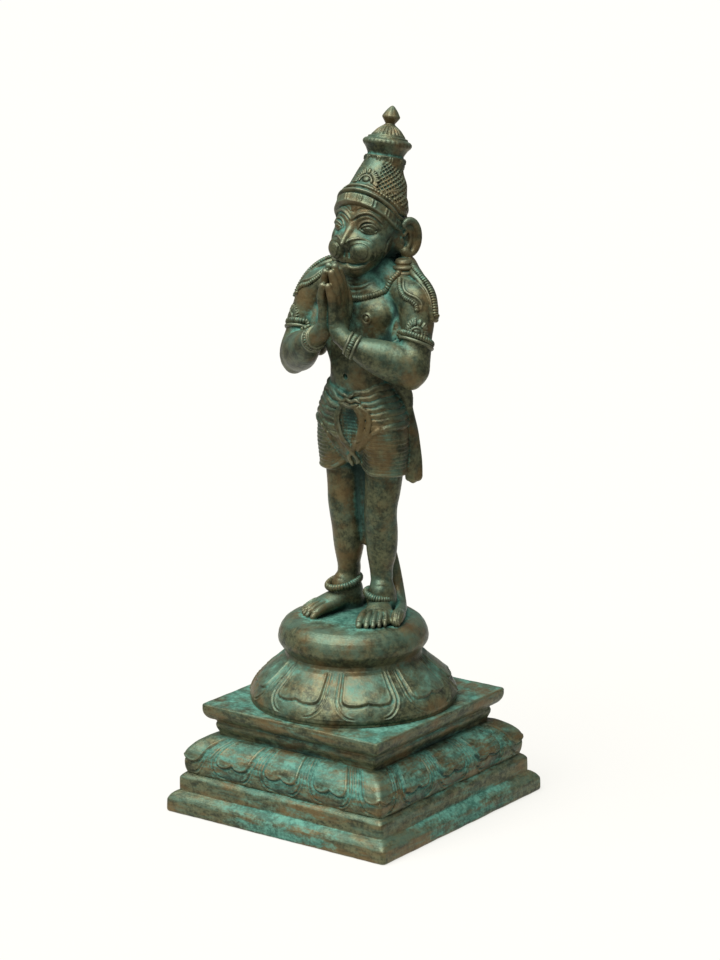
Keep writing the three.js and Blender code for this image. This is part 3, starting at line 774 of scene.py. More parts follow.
# The crown's two axes: the leaning cone with its band, and the steeper top.
CROWN_FOOT = (0, 18.6, 226.6)
CROWN_LEAN = (0, 0.4586, 0.8886)
TOP_FOOT = (0, 32.7, 253.6)
TOP_LEAN = (0, 0.255, 0.967)

CONE_TOP = 30.2
CONE_ROUND = 14.2
BAND_ROUND = 19.3
BAND_PAIRS = 14
LATTICE_PITCH = 2.9

# How steeply the crown's band and mouldings dip in front, and how far ahead of the axis their front is.
BRIM_DIP = 0.36
BRIM_AHEAD = 18


def wrapped(angle, centre):
    """How far an angle is from another, the short way round."""
    return np.abs((angle - centre + math.pi) % (2 * math.pi) - math.pi)


def paired_bars(angle, pairs, around, apart, width):
    """Upright bars in `pairs` round a form of radius `around`."""
    pitch = 2 * math.pi / pairs
    place = ((angle / pitch) % 1.0 - 0.5) * pitch * around
    return line(place - apart, width) + line(place + apart, width)


def band_carving(angle, level, ahead):
    """The crown's band with its paired bars, and the two mouldings over it, the upper one ribbed."""
    bars = paired_bars(angle, BAND_PAIRS, BAND_ROUND, 0.95, 0.6)
    on_band = eased(level, 1.6, 2.2) * eased(-level, -6.0, -5.4)
    band = 1.3 * eased(level, 0.7, 1.2) * eased(-level, -6.8, -6.2)
    band = band + 0.5 * line(level - 1.4, 0.7)
    behind = 1 - ahead / BRIM_AHEAD
    first = 1.9 * np.clip(1 - ((level - 8.6 + 0.9 * behind) / 1.5) ** 2, 0, 1)
    second = 1.1 * np.clip(1 - ((level - 12.4 + 1.6 * behind) / 1.2) ** 2, 0, 1)
    ribs = 0.5 * (0.5 + 0.5 * np.cos(angle * 66)) * (second > 0) * eased(wrapped(angle, 0), 0.5, 0.6)
    return np.maximum(np.maximum(band + 0.6 * bars * on_band, first), second - ribs)


def lattice_carving(angle, height, level):
    """How deep the lattice on the cone's sides is cut."""
    around = wrapped(angle, 0) * CONE_ROUND
    lines = np.maximum(
        np.cos(2 * math.pi * (around + height) / LATTICE_PITCH),
        np.cos(2 * math.pi * (around - height) / LATTICE_PITCH),
    )
    netting = 1 - eased(lines, 0.15, 0.7)
    side = eased(wrapped(angle, 0), 0.58, 0.66) * eased(-wrapped(angle, 0), -2.1, -2.0)
    on_cone = eased(level, 13.2, 13.8) * eased(-height, -CONE_TOP + 0.4, -CONE_TOP + 0.9)
    return 0.85 * netting * side * on_cone


def cone_carving(angle, height, radius):
    """The band and mouldings, which dip in front, the lattice, and the cone's fuller, streaked back."""
    ahead = np.maximum(radius * np.cos(angle), 0)
    level = height + BRIM_DIP * (BRIM_AHEAD - ahead) * np.clip((26 - height) / 14, 0, 1)
    carving = band_carving(angle, level, ahead) - lattice_carving(angle, height, level)
    back = eased(wrapped(angle, 0), 0.9, 1.9) * eased(height, 1, 8) * eased(-height, -29, -21)
    streaks = 0.2 * np.cos(angle * 34) * eased(wrapped(angle, 0), 2.1, 2.3) * eased(level, 8.8, 10)
    return (carving + 1.9 * back + streaks).astype(np.float32)


def cone():
    profile = [
        [0, -5.8], [18.2, -5.8], [18.4, -5.4], [18.4, 6], [18.2, 8.4], [17.2, 11], [16.8, 12.4],
        [15.6, 14.0], [13.4, 22.6], [11.1, CONE_TOP], [0, CONE_TOP + 0.5],
    ]
    return turned(profile, CROWN_FOOT, CROWN_LEAN, cone_carving)


COLLAR_PAIRS = 10
COLLAR_ROUND = 11.3
RIM_NOTCHES = 32
DOME_FLUTES = 22
FINIAL_FACETS = 8


def top_carving(angle, height, radius):
    """Paired bars on the collar, notches round the disc, flutes up the dome and a faceted finial."""
    bars = paired_bars(angle, COLLAR_PAIRS, COLLAR_ROUND, 0.7, 0.42)
    on_collar = eased(height, 0.5, 1.0) * eased(-height, -3.4, -2.9)
    carving = 0.7 * np.clip(bars, 0, 1) * on_collar
    notches = 0.5 + 0.5 * np.cos(angle * RIM_NOTCHES)
    on_rim = np.clip(1 - np.abs(height - 11.4) / 2.0, 0, 1) * eased(radius, 11.2, 12.4)
    carving = carving - 0.32 * notches**2 * on_rim
    flutes = np.abs(np.sin(angle * DOME_FLUTES / 2))
    on_dome = eased(height, 15.6, 16.2) * eased(-height, -21.4, -20.4)
    carving = carving - 0.85 * (1 - flutes) ** 1.1 * on_dome
    facets = np.abs((angle / (2 * math.pi / FINIAL_FACETS) + 0.5) % 1.0 - 0.5)
    on_finial = eased(height, 22, 23) * np.clip(radius / 3, 0, 1)
    return (carving + 0.4 * facets * on_finial).astype(np.float32)


def crown_top():
    profile = [
        [0, -2], [11.4, -2], [11.6, 0.1], [11.3, 0.6], [11.3, 3.2], [11.5, 3.7], [10.3, 4.1],
        [10.1, 4.8], [10.7, 6.2], [12.0, 8.4], [13.3, 9.8], [13.9, 11.0], [13.7, 12.2], [12.8, 13.1],
        [11.3, 13.6], [11.2, 14.6], [10.2, 14.9], [9.6, 15.0], [9.5, 15.7], [8.4, 17.0], [6.9, 18.8],
        [4.9, 20.5], [3.0, 21.7], [2.6, 22.4], [3.3, 23.4], [4.9, 25.7], [4.9, 26.5], [3.4, 29.0],
        [1.5, 31.5], [0.7, 32.2], [0, 32.5],
    ]
    return turned(profile, TOP_FOOT, TOP_LEAN, top_carving)


def rayed_boss(shape, at, body, radius, rays, gap):
    """A half-round boss with rays fanned above it, none nearer its crest than the angle `gap`, where a
    leaf stands. at(aside, up) gives places near a body's skin."""

    def around(angle, reach):
        return at(reach * math.cos(angle), reach * math.sin(angle))

    arch = [around(angle, radius) for angle in np.radians(np.linspace(0, 180, 11))]
    shape.add(ridge(arch, 0.7, body, 0.5, spacing=0.8, taper=0.9), 0.2)
    middle = settle([at(0, radius * 0.35)], body)[0]
    normal = outward([middle], body)[0]
    shape.add(ellipsoid(middle, (radius * 0.62, radius * 0.5, 1.0), facing(normal)), 0.2)
    for angle in np.radians(np.linspace(-8, 188, rays)):
        if abs(angle - math.pi / 2) >= gap:
            ray = [around(angle, radius + reach) for reach in (1.5, 3.1, 4.6)]
            shape.add(ridge(ray, 0.6, body, 0.45, spacing=0.8, taper=0.8), 0.15)
    leaf = [at(0, radius + reach) for reach in (1.4, 3.0, 4.8)]
    shape.add(ridge(leaf, 0.9, body, -0.1, taper=0.4), 0.4)


def crown_shape():
    axis = unit(CROWN_LEAN)
    front = front_of(axis)
    foot_point = np.array(CROWN_FOOT)
    crown = Sculpture()
    crown.add(cone(), 0)
    bare = crown.copy()
    crown.cut(below(foot_point - axis * 5.7, axis - BRIM_DIP * front), 0.3)

    def on_cone(aside, up):
        return foot_point + axis * (14.8 + up) + front * 14 + np.array([aside + 2.0, 0, 0])

    rayed_boss(crown, on_cone, bare, radius=3.6, rays=19, gap=0.24)
    crown.add(crown_top(), 0.3)
    return crown


# DRESS AND ORNAMENT


WAIST_TOP = 135.2
FOLD_PITCH = 3.5
PLEAT_PITCH = 2.3
HEM = 82.8

# How far the waist cloth dips in front, and how far the breeches' pleats climb between the legs.
WAIST_DIP = 5.4
PLEAT_CLIMB = 8.5


def waist_dip(p):
    """How much lower the waist cloth's bands lie in front than over the hips."""
    front = np.clip((8 - p[1]) / 12, 0, 1)
    return WAIST_DIP * front * np.clip(1 - np.abs(p[0]) / 22, 0, 1)


def waist_cloth(folded):
    levels = [
        [101, 11.2, 27.4, 15.8], [105, 11, 29, 16.8], [113.5, 10.6, 28.2, 16.4], [122, 9.8, 25.2, 15],
        [129, 9.2, 21.6, 13.6], [134, 8.8, 19.4, 13.2], [138, 8.6, 18.0, 12.8],
    ]
    sash = stack(levels, power=2.2)

    def distance(p, box=None):
        dip = waist_dip(p) + 0.5 * np.sin(0.5 * p[0] + 0.3 * p[2]) * folded
        front = np.clip((6 - p[1]) / 12, 0, 1)
        foot_edge = 111.5 - 9.5 * front * np.clip(1 - (np.abs(p[0]) - 6) / 14, 0, 1)
        band = np.maximum(p[2] - (WAIST_TOP - dip), foot_edge - p[2])
        height = 0.0
        if folded:
            within = np.abs((((p[2] + dip - WAIST_TOP) / FOLD_PITCH) % 1.0) * 2 - 1)
            height = 0.95 * (1 - within**2.4)
        return -smooth_min(-(sash.distance(p, box) - height), -band, 0.8)

    return Shape(sash.low - 1, sash.high + 1, distance)


def breeches(hand):
    """A pleated trouser leg whose pleats and hem climb between the legs."""
    stations = [
        [14.6, 11.6, 84.5, 13.0, 12.6], [14.6, 11.4, 92, 13.6, 13.4], [14.4, 11.2, 101, 14.2, 14.4],
        [13.6, 11, 110, 13.8, 15],
    ]
    leg_cloth = limb(mirrored(stations, hand))

    def distance(p, box=None):
        inward = np.clip((16 - p[0] * hand) / 11, 0, 1) ** 2 * np.clip((14 - p[1]) / 14, 0, 1)
        climb = PLEAT_CLIMB * inward
        step = ((p[2] - climb) / PLEAT_PITCH) % 1.0
        pleat = 0.62 * (1 - np.abs(2 * step - 1) ** 3)
        hem_height = HEM + 0.7 * climb
        hem = 0.9 * np.clip(1 - ((p[2] - hem_height - 1.3) / 1.4) ** 2, 0, 1)
        d = leg_cloth.distance(p, box) - np.maximum(pleat - 0.2, hem)
        return -smooth_min(-d, -(hem_height - p[2]), 0.5)

    return Shape(leg_cloth.low - 1, leg_cloth.high + 1, distance)


# The knotted sash, as flat bands: half width, half thickness and points. First the two strands that hang
# round the drop, then one beside them, the bow's loop and end, the knot, and the ends below it.
SASH_BANDS = (
    (1.9, 1.1, [
        [-2.2, -6.8, 122.5], [-5.0, -6.4, 118.5], [-5.2, -6, 113.5], [-3.8, -5.8, 108.5],
        [-1.4, -5.2, 103], [2, -4, 98], [4.4, -3, 93],
    ]),
    (1.9, 1.1, [
        [5.0, -6.4, 123.4], [9.0, -5.8, 120.6], [11.2, -5.2, 115.4], [10.8, -5, 110.5], [8.8, -5, 105],
        [5.4, -4.8, 100], [1.4, -3, 94],
    ]),
    (1.7, 0.9, [
        [9.4, -5, 123], [13.6, -4, 119.6], [15.0, -3, 114.4], [13.6, -3, 108.6], [10.4, -3, 103],
        [6.8, -2.6, 98],
    ]),
    (1.5, 1.0, [
        [-5, -5, 125.5], [-9, -4, 129], [-13.5, -2, 131], [-17, 0.5, 129.4], [-16.6, 0.4, 126.6],
        [-12.6, -2, 123.6], [-8, -4, 121.4], [-4.6, -5, 121.8],
    ]),
    (1.5, 0.9, [[-14.5, -1, 118.8], [-10, -3.6, 118.4], [-5.4, -5.2, 118.6]]),
    (1.1, 1.3, [
        [-5, -6, 126.6], [-2, -6, 125.4], [1, -6, 126.8], [4, -6, 125.6], [7, -6, 126.9],
        [9.4, -5, 125.8],
    ]),
    (1.2, 1.3, [[-4, -6, 124.2], [-0.6, -6, 123.4], [2.6, -6, 122.6], [6, -6, 123.2], [8, -5, 124.2]]),
    (1.0, 1.0, [[-1, -6, 129.4], [2.0, -6, 127.9], [5, -6, 129.2]]),
    (1.4, 1.2, [[0.4, -3, 94], [-0.4, -2.4, 91], [0.6, -1.6, 87.8]]),
    (1.2, 1.1, [[4.4, -3, 93.6], [5.2, -2.4, 91], [4.0, -1.6, 88.4]]),
)
SASH_EDGE = [
    [6.9, -1, 98.0], [10.2, -3, 100.4], [13.1, -4.5, 103.8], [15.8, -2.8, 107.6], [19.4, -1, 110.2],
    [25.3, 4.5, 111.8], [27.5, 12, 112.4], [27, 18, 112.6],
]


def drop_ground():
    """The sunk, netted ground between the sash's two hanging strands."""
    egg = ellipsoid((2.8, -8.0, 111), (7.8, 5.6, 13))

    def netting(p):
        return 0.25 * np.clip(np.cos(3.3 * p[0]) + np.cos(3.3 * p[2]), 0, 1)

    return textured(egg, netting)


def hanging_end(hand):
    """The pleated panel of cloth that hangs over a hip."""
    stations = [
        [23.4, 19.4, 124, 3.0, 2.4], [25.8, 19.8, 112, 4.2, 2.8], [27.0, 20.4, 98, 4.8, 2.8],
        [27.8, 20.8, 86, 5.4, 2.6], [28.0, 20.8, 80.6, 5.4, 2.0],
    ]
    side = unit((0.45 * hand, 1, 0))

    def pleats(p):
        return 0.3 * np.cos((side[0] * p[0] + side[1] * p[1]) * 1.25 + 0.8)

    return textured(limb(mirrored(stations, hand), side=side), pleats)


def back_fall():
    """The pleated cloth that hangs behind."""
    stations = [
        [0, 23.4, 124, 6, 2.4], [0, 27.2, 106, 7.6, 2.6], [0, 27, 84, 8.4, 2.4], [0, 25.4, 66, 8, 1.6],
    ]

    def pleats(p):
        return 0.55 * np.cos(p[0] * 1.7)

    return textured(limb(stations), pleats)


def add_dress(body):
    plain = body.copy()
    for hand in HANDS:
        body.add(breeches(hand), 0.6)
        plain.add(breeches(hand), 0.6)
    body.add(waist_cloth(True), 0.4)
    plain.add(waist_cloth(False), 0.4)
    body.cut(drop_ground(), 0.5)
    for hand in HANDS:
        body.add(strip(mirrored(SASH_EDGE, hand), 1.4, 1.0, plain, 0.1), 0.6)
    for half_width, half_depth, points in SASH_BANDS:
        body.add(strip(points, half_width, half_depth, plain, 0.8), 0.25)
    for hand in HANDS:
        bundle = [
            [15.5, 12, 139, 4], [18.6, 14.4, 136.5, 4.6], [21.6, 17, 132, 4.8], [23.6, 19, 127, 4.2],
            [24.4, 19.8, 122, 3.2],
        ]
        body.add(limb(mirrored(bundle, hand)), 1.5)
        body.add(hanging_end(hand), 0.6)
    body.add(back_fall(), 0.8)


# ORNAMENTS


class Cords:
    """Ribbed cords, all in one mesh, each laid along a body's skin."""

    SIDES = 12

    def __init__(self):
        self.points, self.quads, self.creases, self.hollows = [], [], [], []
        self.count = 0

    def lay(self, points, half_width, half_depth, pitch, body, lift=0.3, groove=0.3, loose_about=None):
        """Lays a cord on a body's skin, or leaves it hanging loose about a middle. Its ribs are `pitch`
        apart, with grooves between that take away the share `groove` of its thickness."""
        path = smooth_path(points, 1.5)
        if loose_about is None:
            path = settle(path, body, lift)
            away = outward(path, body)
        else:
            away = normalised(path - loose_about)
        rows = smooth_path(np.column_stack([path, away]), pitch / 6)
        self.sweep(rows[:, :3], rows[:, 3:], half_width, half_depth, pitch, groove)

    def sweep(self, path, normals, half_width, half_depth, pitch, groove):
        sides = normalised(np.cross(np.gradient(path, axis=0), normals))
        travelled = np.concatenate([[0], np.cumsum(np.linalg.norm(np.diff(path, axis=0), axis=1))])
        valley = np.abs(2 * (travelled / pitch % 1.0) - 1) ** 3
        size = 1 - groove * valley
        size[0] = size[-1] = 0.02
        turns = np.arange(self.SIDES) * 2 * math.pi / self.SIDES
        over = np.cos(turns)[:, None] * half_width
        out = np.sin(turns)[:, None] * half_depth
        rings = path[:, None] + size[:, None, None] * (over * sides[:, None] + out * normals[:, None])
        index = self.count + np.arange(len(path) * self.SIDES).reshape(len(path), self.SIDES)
        beside = np.roll(index, -1, axis=1)
        quads = np.stack([index[:-1], index[1:], beside[1:], beside[:-1]], -1).reshape(-1, 4)
        self.points.append(rings.reshape(-1, 3))
        self.quads.append(quads)
        # Crease values, highest in the grooves between ribs, and hollow values, highest on the side
        # against the skin: the material paints shade and gathers verdigris where they are high.
        self.creases.append(np.repeat(0.4 + 0.28 * valley, self.SIDES))
        self.hollows.append(np.tile(0.53 - 0.06 * np.sin(turns), len(path)))
        self.count += len(rings) * self.SIDES

    def mesh(self, name):
        piece = mesh_from(name, np.vstack(self.points), np.vstack(self.quads))
        keep_value(piece, "crease", np.concatenate(self.creases))
        keep_value(piece, "hollow", np.concatenate(self.hollows))
        return piece


NECKLACE = [
    [16.5, 23.5, 197], [20.0, 18, 193.8], [20.6, 12.6, 190.6], [17.6, 8.4, 187.4], [13.5, 4.7, 185.2],
    [8.2, 2.5, 183.4], [2.7, 0.9, 183.0],
]
STRAP = [
    [24.6, 13.4, 193.6], [26.6, 10.4, 191.8], [29.5, 6.8, 189.4], [33.3, 5.6, 186.3],
    [38.0, 5.8, 184.4], [40.8, 6.2, 181.8], [41.2, 5.6, 179.2],
]
STRAP_EDGE = [
    [27.2, 13.4, 193.4], [29.4, 10.0, 191.4], [32.0, 7.6, 189.4], [35.4, 7.2, 187.8],
    [39.8, 8.2, 186.0], [42.6, 8.4, 183.0], [42.8, 7.4, 180.2],
]
LOCK = [
    [10, 31, 203, 4.4, 4.2], [19, 28.5, 200.8, 4.4, 3.6], [26, 24.0, 197.6, 4.2, 3.0],
    [31.6, 20.6, 195.6, 4.0, 2.4], [37.2, 19.4, 192.0, 3.8, 2.2], [41.8, 18.2, 187.4, 3.6, 2.0],
    [44.8, 16.4, 182.2, 3.3, 1.9], [46.6, 14.8, 177.2, 3.0, 1.8], [47.0, 14.2, 174.6, 2.4, 1.6],
]
LOCK_RIBS = [
    [20, 26.6, 203.8], [27.4, 22.0, 200.8], [33.2, 19.0, 198.4], [39.0, 17.8, 194.6],
    [44.2, 16.6, 189.2], [47.4, 14.8, 183.4], [49.4, 13.2, 178.0], [49.8, 12.8, 175.6],
]
LOCK_EDGE = [
    [30.4, 18.2, 195.8], [35.6, 16.2, 193.2], [40.3, 14.9, 189.6], [43.6, 13.8, 184.8],
    [45.4, 13.0, 180], [46.0, 12.6, 176.4],
]
ARMLET_MIDDLE = np.array([38.4, 8.6, 163.2])
ARMLET_NORMAL = (0.06, 0.5, 0.87)
BOSS_MIDDLE = np.array([43.6, 2.0, 168.0])
WRIST_MIDDLE = np.array([13.4, -16.8, 161.2])
WRIST_AXIS = (-0.826, -0.397, 0.397)
BREAST_TIP = [[12.9, -2, 173.4]]
LOCK_KNOT = [[47.2, 15.4, 173.6], [46.8, 13.2, 174.2], [48.2, 14.2, 175.2]]

# How much lower the armlet is worn on each arm, and how much nearer the hand the bracelet is.
ARMLET_DROP = {1: 0, -1: 2.2}
BRACELET_SHIFT = {1: 0, -1: 1.6}


def add_ring(body, bare, middle, normal, radius, thick):
    """A smooth ring settled on the bare skin."""
    body.add(hoop(settle(circle(middle, normal, radius), bare, thick * 0.3), thick), 0.3)


def add_armlet(body, bare, cords, hand):
    """A ribbed and a smooth ring round the upper arm, under a boss with rays."""
    flip = np.array([hand, 1, 1])
    drop = (0, 0, ARMLET_DROP[hand])
    middle, normal = ARMLET_MIDDLE * flip - drop, unit(ARMLET_NORMAL) * flip
    cords.lay(circle(middle, normal, 9.4), 1.8, 1.4, 1.5, bare)
    add_ring(body, bare, middle - normal * 2.7, normal, 9.2, 1.1)
    boss = BOSS_MIDDLE * flip - drop
    out = outward([boss], bare)[0]
    upward = unit(normal - out * np.dot(normal, out))
    across = np.cross(upward, out)

    def on_arm(aside, up):
        return boss + across * aside + upward * up

    rayed_boss(body, on_arm, bare, radius=3.2, rays=17, gap=0.28)


def add_bracelet(body, bare, cords, hand):
    """A ribbed ring between two smooth ones at the wrist."""
    flip = np.array([hand, 1, 1])
    along = unit(WRIST_AXIS) * flip
    wrist = WRIST_MIDDLE * flip + along * BRACELET_SHIFT[hand]
    for shift in (-2.4, 2.4):
        add_ring(body, bare, wrist + along * shift, along, 7, 0.95)
    cords.lay(circle(wrist, along, 7), 1.7, 1.2, 1.45, bare)


# Each anklet's middle forward and aside, its half length and half width, its height and its two slopes.
ANKLETS = {1: (4.6, -1.6, 8.8, 6.9, 12, 0, 2), -1: (4.4, 0, 10.2, 7.6, 15.6, 2, 0)}


def add_anklet(cords, bare, hand):
    """A loose ribbed ring resting on the instep."""
    place = foot_place(hand)[0]
    ahead, aside, length, width, z, dip, lean = ANKLETS[hand]
    loop = []
    for turn in np.linspace(0, 2 * math.pi, 33):
        forward, sideways = math.cos(turn), math.sin(turn)
        height = z - dip * forward - lean * sideways
        loop.append(place(ahead + length * forward, aside + width * sideways, height))
    cords.lay(loop, 2.1, 1.9, 1.5, bare, loose_about=place(ahead, aside, z))


def add_locks(body, bare):
    """The locks of hair that fall over the shoulders, each edged and ending in a knot of three beads."""
    for hand in HANDS:
        body.add(limb(mirrored(LOCK, hand), side=(0, 1, 0)), 0.5)
        body.add(ridge(mirrored(LOCK_EDGE, hand), 0.8, bare, 0.6), 0.4)
        for bead in mirrored(LOCK_KNOT, hand):
            body.add(ellipsoid(bead, (1.5, 1.7, 1.5)), 0.2)


def add_breast_ring(body, bare, hand):
    spot = settle(mirrored(BREAST_TIP, hand), bare)[0]
    axes = facing(outward([spot], bare)[0])
    body.add(ellipsoid(spot, (1.5, 1.5, 1.1), axes), 0.3)
    add_ring(body, bare, spot, axes[2], 2.7, 0.6)


# The heights of the two folds across the neck.
NECK_FOLDS = (189.6, 187.0)


def add_ornaments(body, cords):
    bare = body.copy()
    add_locks(body, bare)
    locked = body.copy()
    cords.lay(NECKLACE + [[-x, y, z] for x, y, z in reversed(NECKLACE)], 1.9, 1.7, 1.5, bare)
    for hand in HANDS:
        cords.lay(mirrored(STRAP, hand), 1.5, 1.2, 1.3, bare, lift=0.2)
        body.add(ridge(mirrored(STRAP_EDGE, hand), 0.75, bare, 0.1), 0.5)
        cords.lay(mirrored(LOCK_RIBS, hand), 1.9, 1.3, 1.5, locked, groove=0.5)
        add_armlet(body, bare, cords, hand)
        add_bracelet(body, bare, cords, hand)
        add_anklet(cords, bare, hand)
        add_breast_ring(body, bare, hand)
    for z in NECK_FOLDS:
        fold = [[-9, 7.5, z + 2.2], [-5, 2.6, z + 0.6], [0, 0.8, z], [5, 2.6, z + 0.6], [9, 7.5, z + 2.2]]
        body.cut(ridge(fold, 0.5, bare, 0.1), 0.5)


def tail():
    stations = [
        [0, 24, 122, 3.4], [0, 30, 106, 3.8], [-5, 30, 80, 4.4], [-7, 29.5, 56, 4], [1, 30, 40, 3.6],
        [7.4, 28, 24, 4.0], [11.8, 25.8, 10, 4.4], [17.5, 21, 4, 3.8], [24.4, 12, 3.4, 3.2],
        [27.4, 5.6, 3.0, 3.0],
    ]
    return limb(stations, side=(0, 1, 0))


def tail_tuft():
    """The tail's tufted end, lying beside the left toes."""
    run = [[27.4, 7.6, 2.8, 3.0], [29.6, 3.2, 4.0, 3.8], [31.0, 0.0, 4.0, 3.9], [32.6, -3.6, 2.0, 2.8]]
    side = unit((0.9, 0.42, 0))

    def hairs(p):
        return 0.2 * np.cos((side[0] * p[0] + side[1] * p[1]) * 4.2)

    return textured(limb(run), hairs)


def cushion():
    """The pedestal's plump upper ring, which the feet stand on."""
    profile = [
        [0, -20.8], [37.9, -20.8], [38.3, -19.9], [42.0, -14.6], [42.6, -13.4], [42.8, -11.6],
        [42.3, -8.6], [41.1, -5.6], [39.2, -3.0], [36.6, -1.2], [33.0, -0.3], [28.0, 0.0], [0, 0],
    ]
    return turned(profile, (0, 0, 0), (0, 0, 1))


def build_figure():
    """The body with its dress and cushion, the head, the crown and the ribbed cords."""
    body = base_body()
    body.add(cushion(), 1.6)
    nape = ellipsoid((0, 26, 203), (14, 9, 15))
    body.add(nape, 2)
    cords = Cords()
    add_ornaments(body, cords)
    add_dress(body)
    body.add(tail(), 0.8)
    body.add(tail_tuft(), 0.25)
    navel = ellipsoid((0, -5.0, 139.4), (1.5, 2.0, 1.7))
    body.cut(navel, 0.7)
    head = add_face(bare_head())
    for hand in HANDS:
        add_ear(head, hand)
        head.add(earring(hand), 0.3)
    return body, head, crown_shape(), cords


# PEDESTAL AND PLINTH


# Heights above the ground of the petals on the plinth's band and on the skirt, and how thick the plinth's
# top is over its hollow.
BAND_FOOT, BAND_TOP = 22.5, 44.2
SKIRT_FOOT, SKIRT_TOP = 66.8, 89.2
PLINTH_WALL = 5.0

EASE_STEPS = 4


def outline(corners):
    """A closed outline from [across, height, ease, longest]: corners rounded within `ease` of their
    point, and the run after each one divided into parts no longer than `longest`."""
    rounded = []
    for i, (across, height, ease, longest) in enumerate(corners):
        here = np.array([across, height], float)
        before = np.array(corners[i - 1][:2], float) - here
        after = np.array(corners[(i + 1) % len(corners)][:2], float) - here
        start = here + before * min(ease / np.linalg.norm(before), 0.5)
        end = here + after * min(ease / np.linalg.norm(after), 0.5)
        for t in np.linspace(0, 1, EASE_STEPS if ease else 1):
            rounded.append(((1 - t) ** 2 * start + 2 * t * (1 - t) * here + t * t * end, longest))
    rows = []
    for i, (here, longest) in enumerate(rounded):
        ahead = rounded[(i + 1) % len(rounded)][0]
        count = max(1, math.ceil(np.linalg.norm(ahead - here) / longest))
        rows += [here + (ahead - here) * k / count for k in range(count)]
    rows = np.array(rows)
    apart = np.linalg.norm(rows - np.roll(rows, 1, axis=0), axis=1) > 0.02
    return rows[apart]


def round_loop(count):
    """Directions and normals round a circle, with their angles from the front to the figure's left."""
    angle = np.arange(count) * 2 * math.pi / count
    way = np.column_stack([np.sin(angle), -np.cos(angle)])
    return way, way, angle


def square_loop(side_count, corner_count, corner):
    """The same round a square of half side 1, with each place's distance from its side's middle."""
    ways, normals, places = [], [], []
    for face in range(4):
        out = np.array([math.sin(face * math.pi / 2), -math.cos(face * math.pi / 2)])
        along = np.array([-out[1], out[0]])
        for c in np.linspace(corner - 1, 1 - corner, side_count):
            ways.append(out + along * c)
            normals.append(out)
            places.append(abs(c))
        for turn in np.linspace(0, math.pi / 2, corner_count + 2)[1:-1]:
            normal = out * math.cos(turn) + along * math.sin(turn)
            ways.append((out + along) * (1 - corner) + normal * corner)
            normals.append(normal)
            places.append(1 - corner + corner * min(math.sin(turn), math.cos(turn)) * math.sqrt(2))
    return np.array(ways), np.array(normals), np.array(places)


def neighbours_mean(grid):
    ahead = np.roll(grid, -1, axis=1)
    behind = np.roll(grid, 1, axis=1)
    over = np.roll(grid, -1, axis=0)
    under = np.roll(grid, 1, axis=0)
    return grid / 2 + (ahead + behind + over + under) / 8


def sunk(points, normals, passes, stride):
    """How far each point of a grid lies below its smoothed surroundings, from every `stride`th column."""
    coarse = points[:, ::stride]
    smooth = coarse
    for _ in range(passes):
        smooth = neighbours_mean(smooth)
    depth = ((smooth - coarse) * normals[:, ::stride]).sum(-1)
    return np.repeat(depth, stride, axis=1)[:, : points.shape[1]]


def swept(name, rows, loop, relief, age_and_shade):
    """A closed outline carried round a loop. relief[row, column] raises the surface along its normals, and
    the last argument raises its hollow value, which greens all of it and deepens the painted shade on
    faces that do not turn upwards."""
    ways, sideways, _ = loop
    tangent = normalised(np.roll(rows, -1, axis=0) - np.roll(rows, 1, axis=0))
    points = np.empty((len(rows), len(ways), 3))
    points[..., :2] = rows[:, 0, None, None] * ways
    points[..., 2] = rows[:, 1, None]
    normals = np.empty_like(points)
    normals[..., :2] = tangent[:, 1, None, None] * sideways
    normals[..., 2] = -tangent[:, 0, None]
    points = points + normals * relief[..., None]
    index = np.arange(points.shape[0] * points.shape[1]).reshape(points.shape[:2])
    beside = np.roll(index, -1, axis=1)
    quads = np.stack([index, beside, np.roll(beside, -1, axis=0), np.roll(index, -1, axis=0)], -1)
    piece = mesh_from(name, points.reshape(-1, 3) - (0, 0, PLATFORM), quads.reshape(-1, 4))
    fine = sunk(points, normals, passes=5, stride=1).ravel()
    wide = sunk(points, normals, passes=60, stride=4).ravel()
    # Crease and hollow values, from which the material gathers verdigris and paints shade.
    keep_value(piece, "crease", np.clip(0.5 + 0.35 * fine, 0, 1))
    keep_value(piece, "hollow", np.clip(0.5 + age_and_shade + 0.09 * wide, 0, 1))
    return piece


# The directions of the waves that make a surface uneven.
SWELLS = ((1, 0.4, 0.7), (-0.5, 1, 0.6), (0.3, -0.7, 1.2), (0.9, 0.8, -0.9), (-1.1, 0.5, 0.4))


def uneven(rows, loop, size):
    """Gentle swells and dips of a hand-finished surface, about `size` millimetres high."""
    x = rows[:, 0, None] * loop[0][:, 0]
    y = rows[:, 0, None] * loop[0][:, 1]
    z = rows[:, 1, None]
    total = 0
    for k, (a, b, c) in enumerate(SWELLS):
        pace = 2 * math.pi / (9 + 5 * k)
        total = total + np.sin(pace * (a * x + b * y + c * z) + 1.7 * k)
    return total * size / len(SWELLS)


def quarter_turn(across, down, width, corner, length):
    """Distance outside a petal's outline: straight down each side, then curving in under the petal."""
    inner = width * 0.36
    rx, ry = width - inner, length - corner
    qx = np.maximum(across - inner, 0) / rx
    qy = np.maximum(down - corner, 0) / ry
    size = np.hypot(qx, qy)
    slope = np.hypot(qx / rx, qy / ry)
    turned_in = size * (size - 1) / np.maximum(slope, 1e-3)
    return np.where(down < corner, across - width, np.where(across < inner, down - length, turned_in))


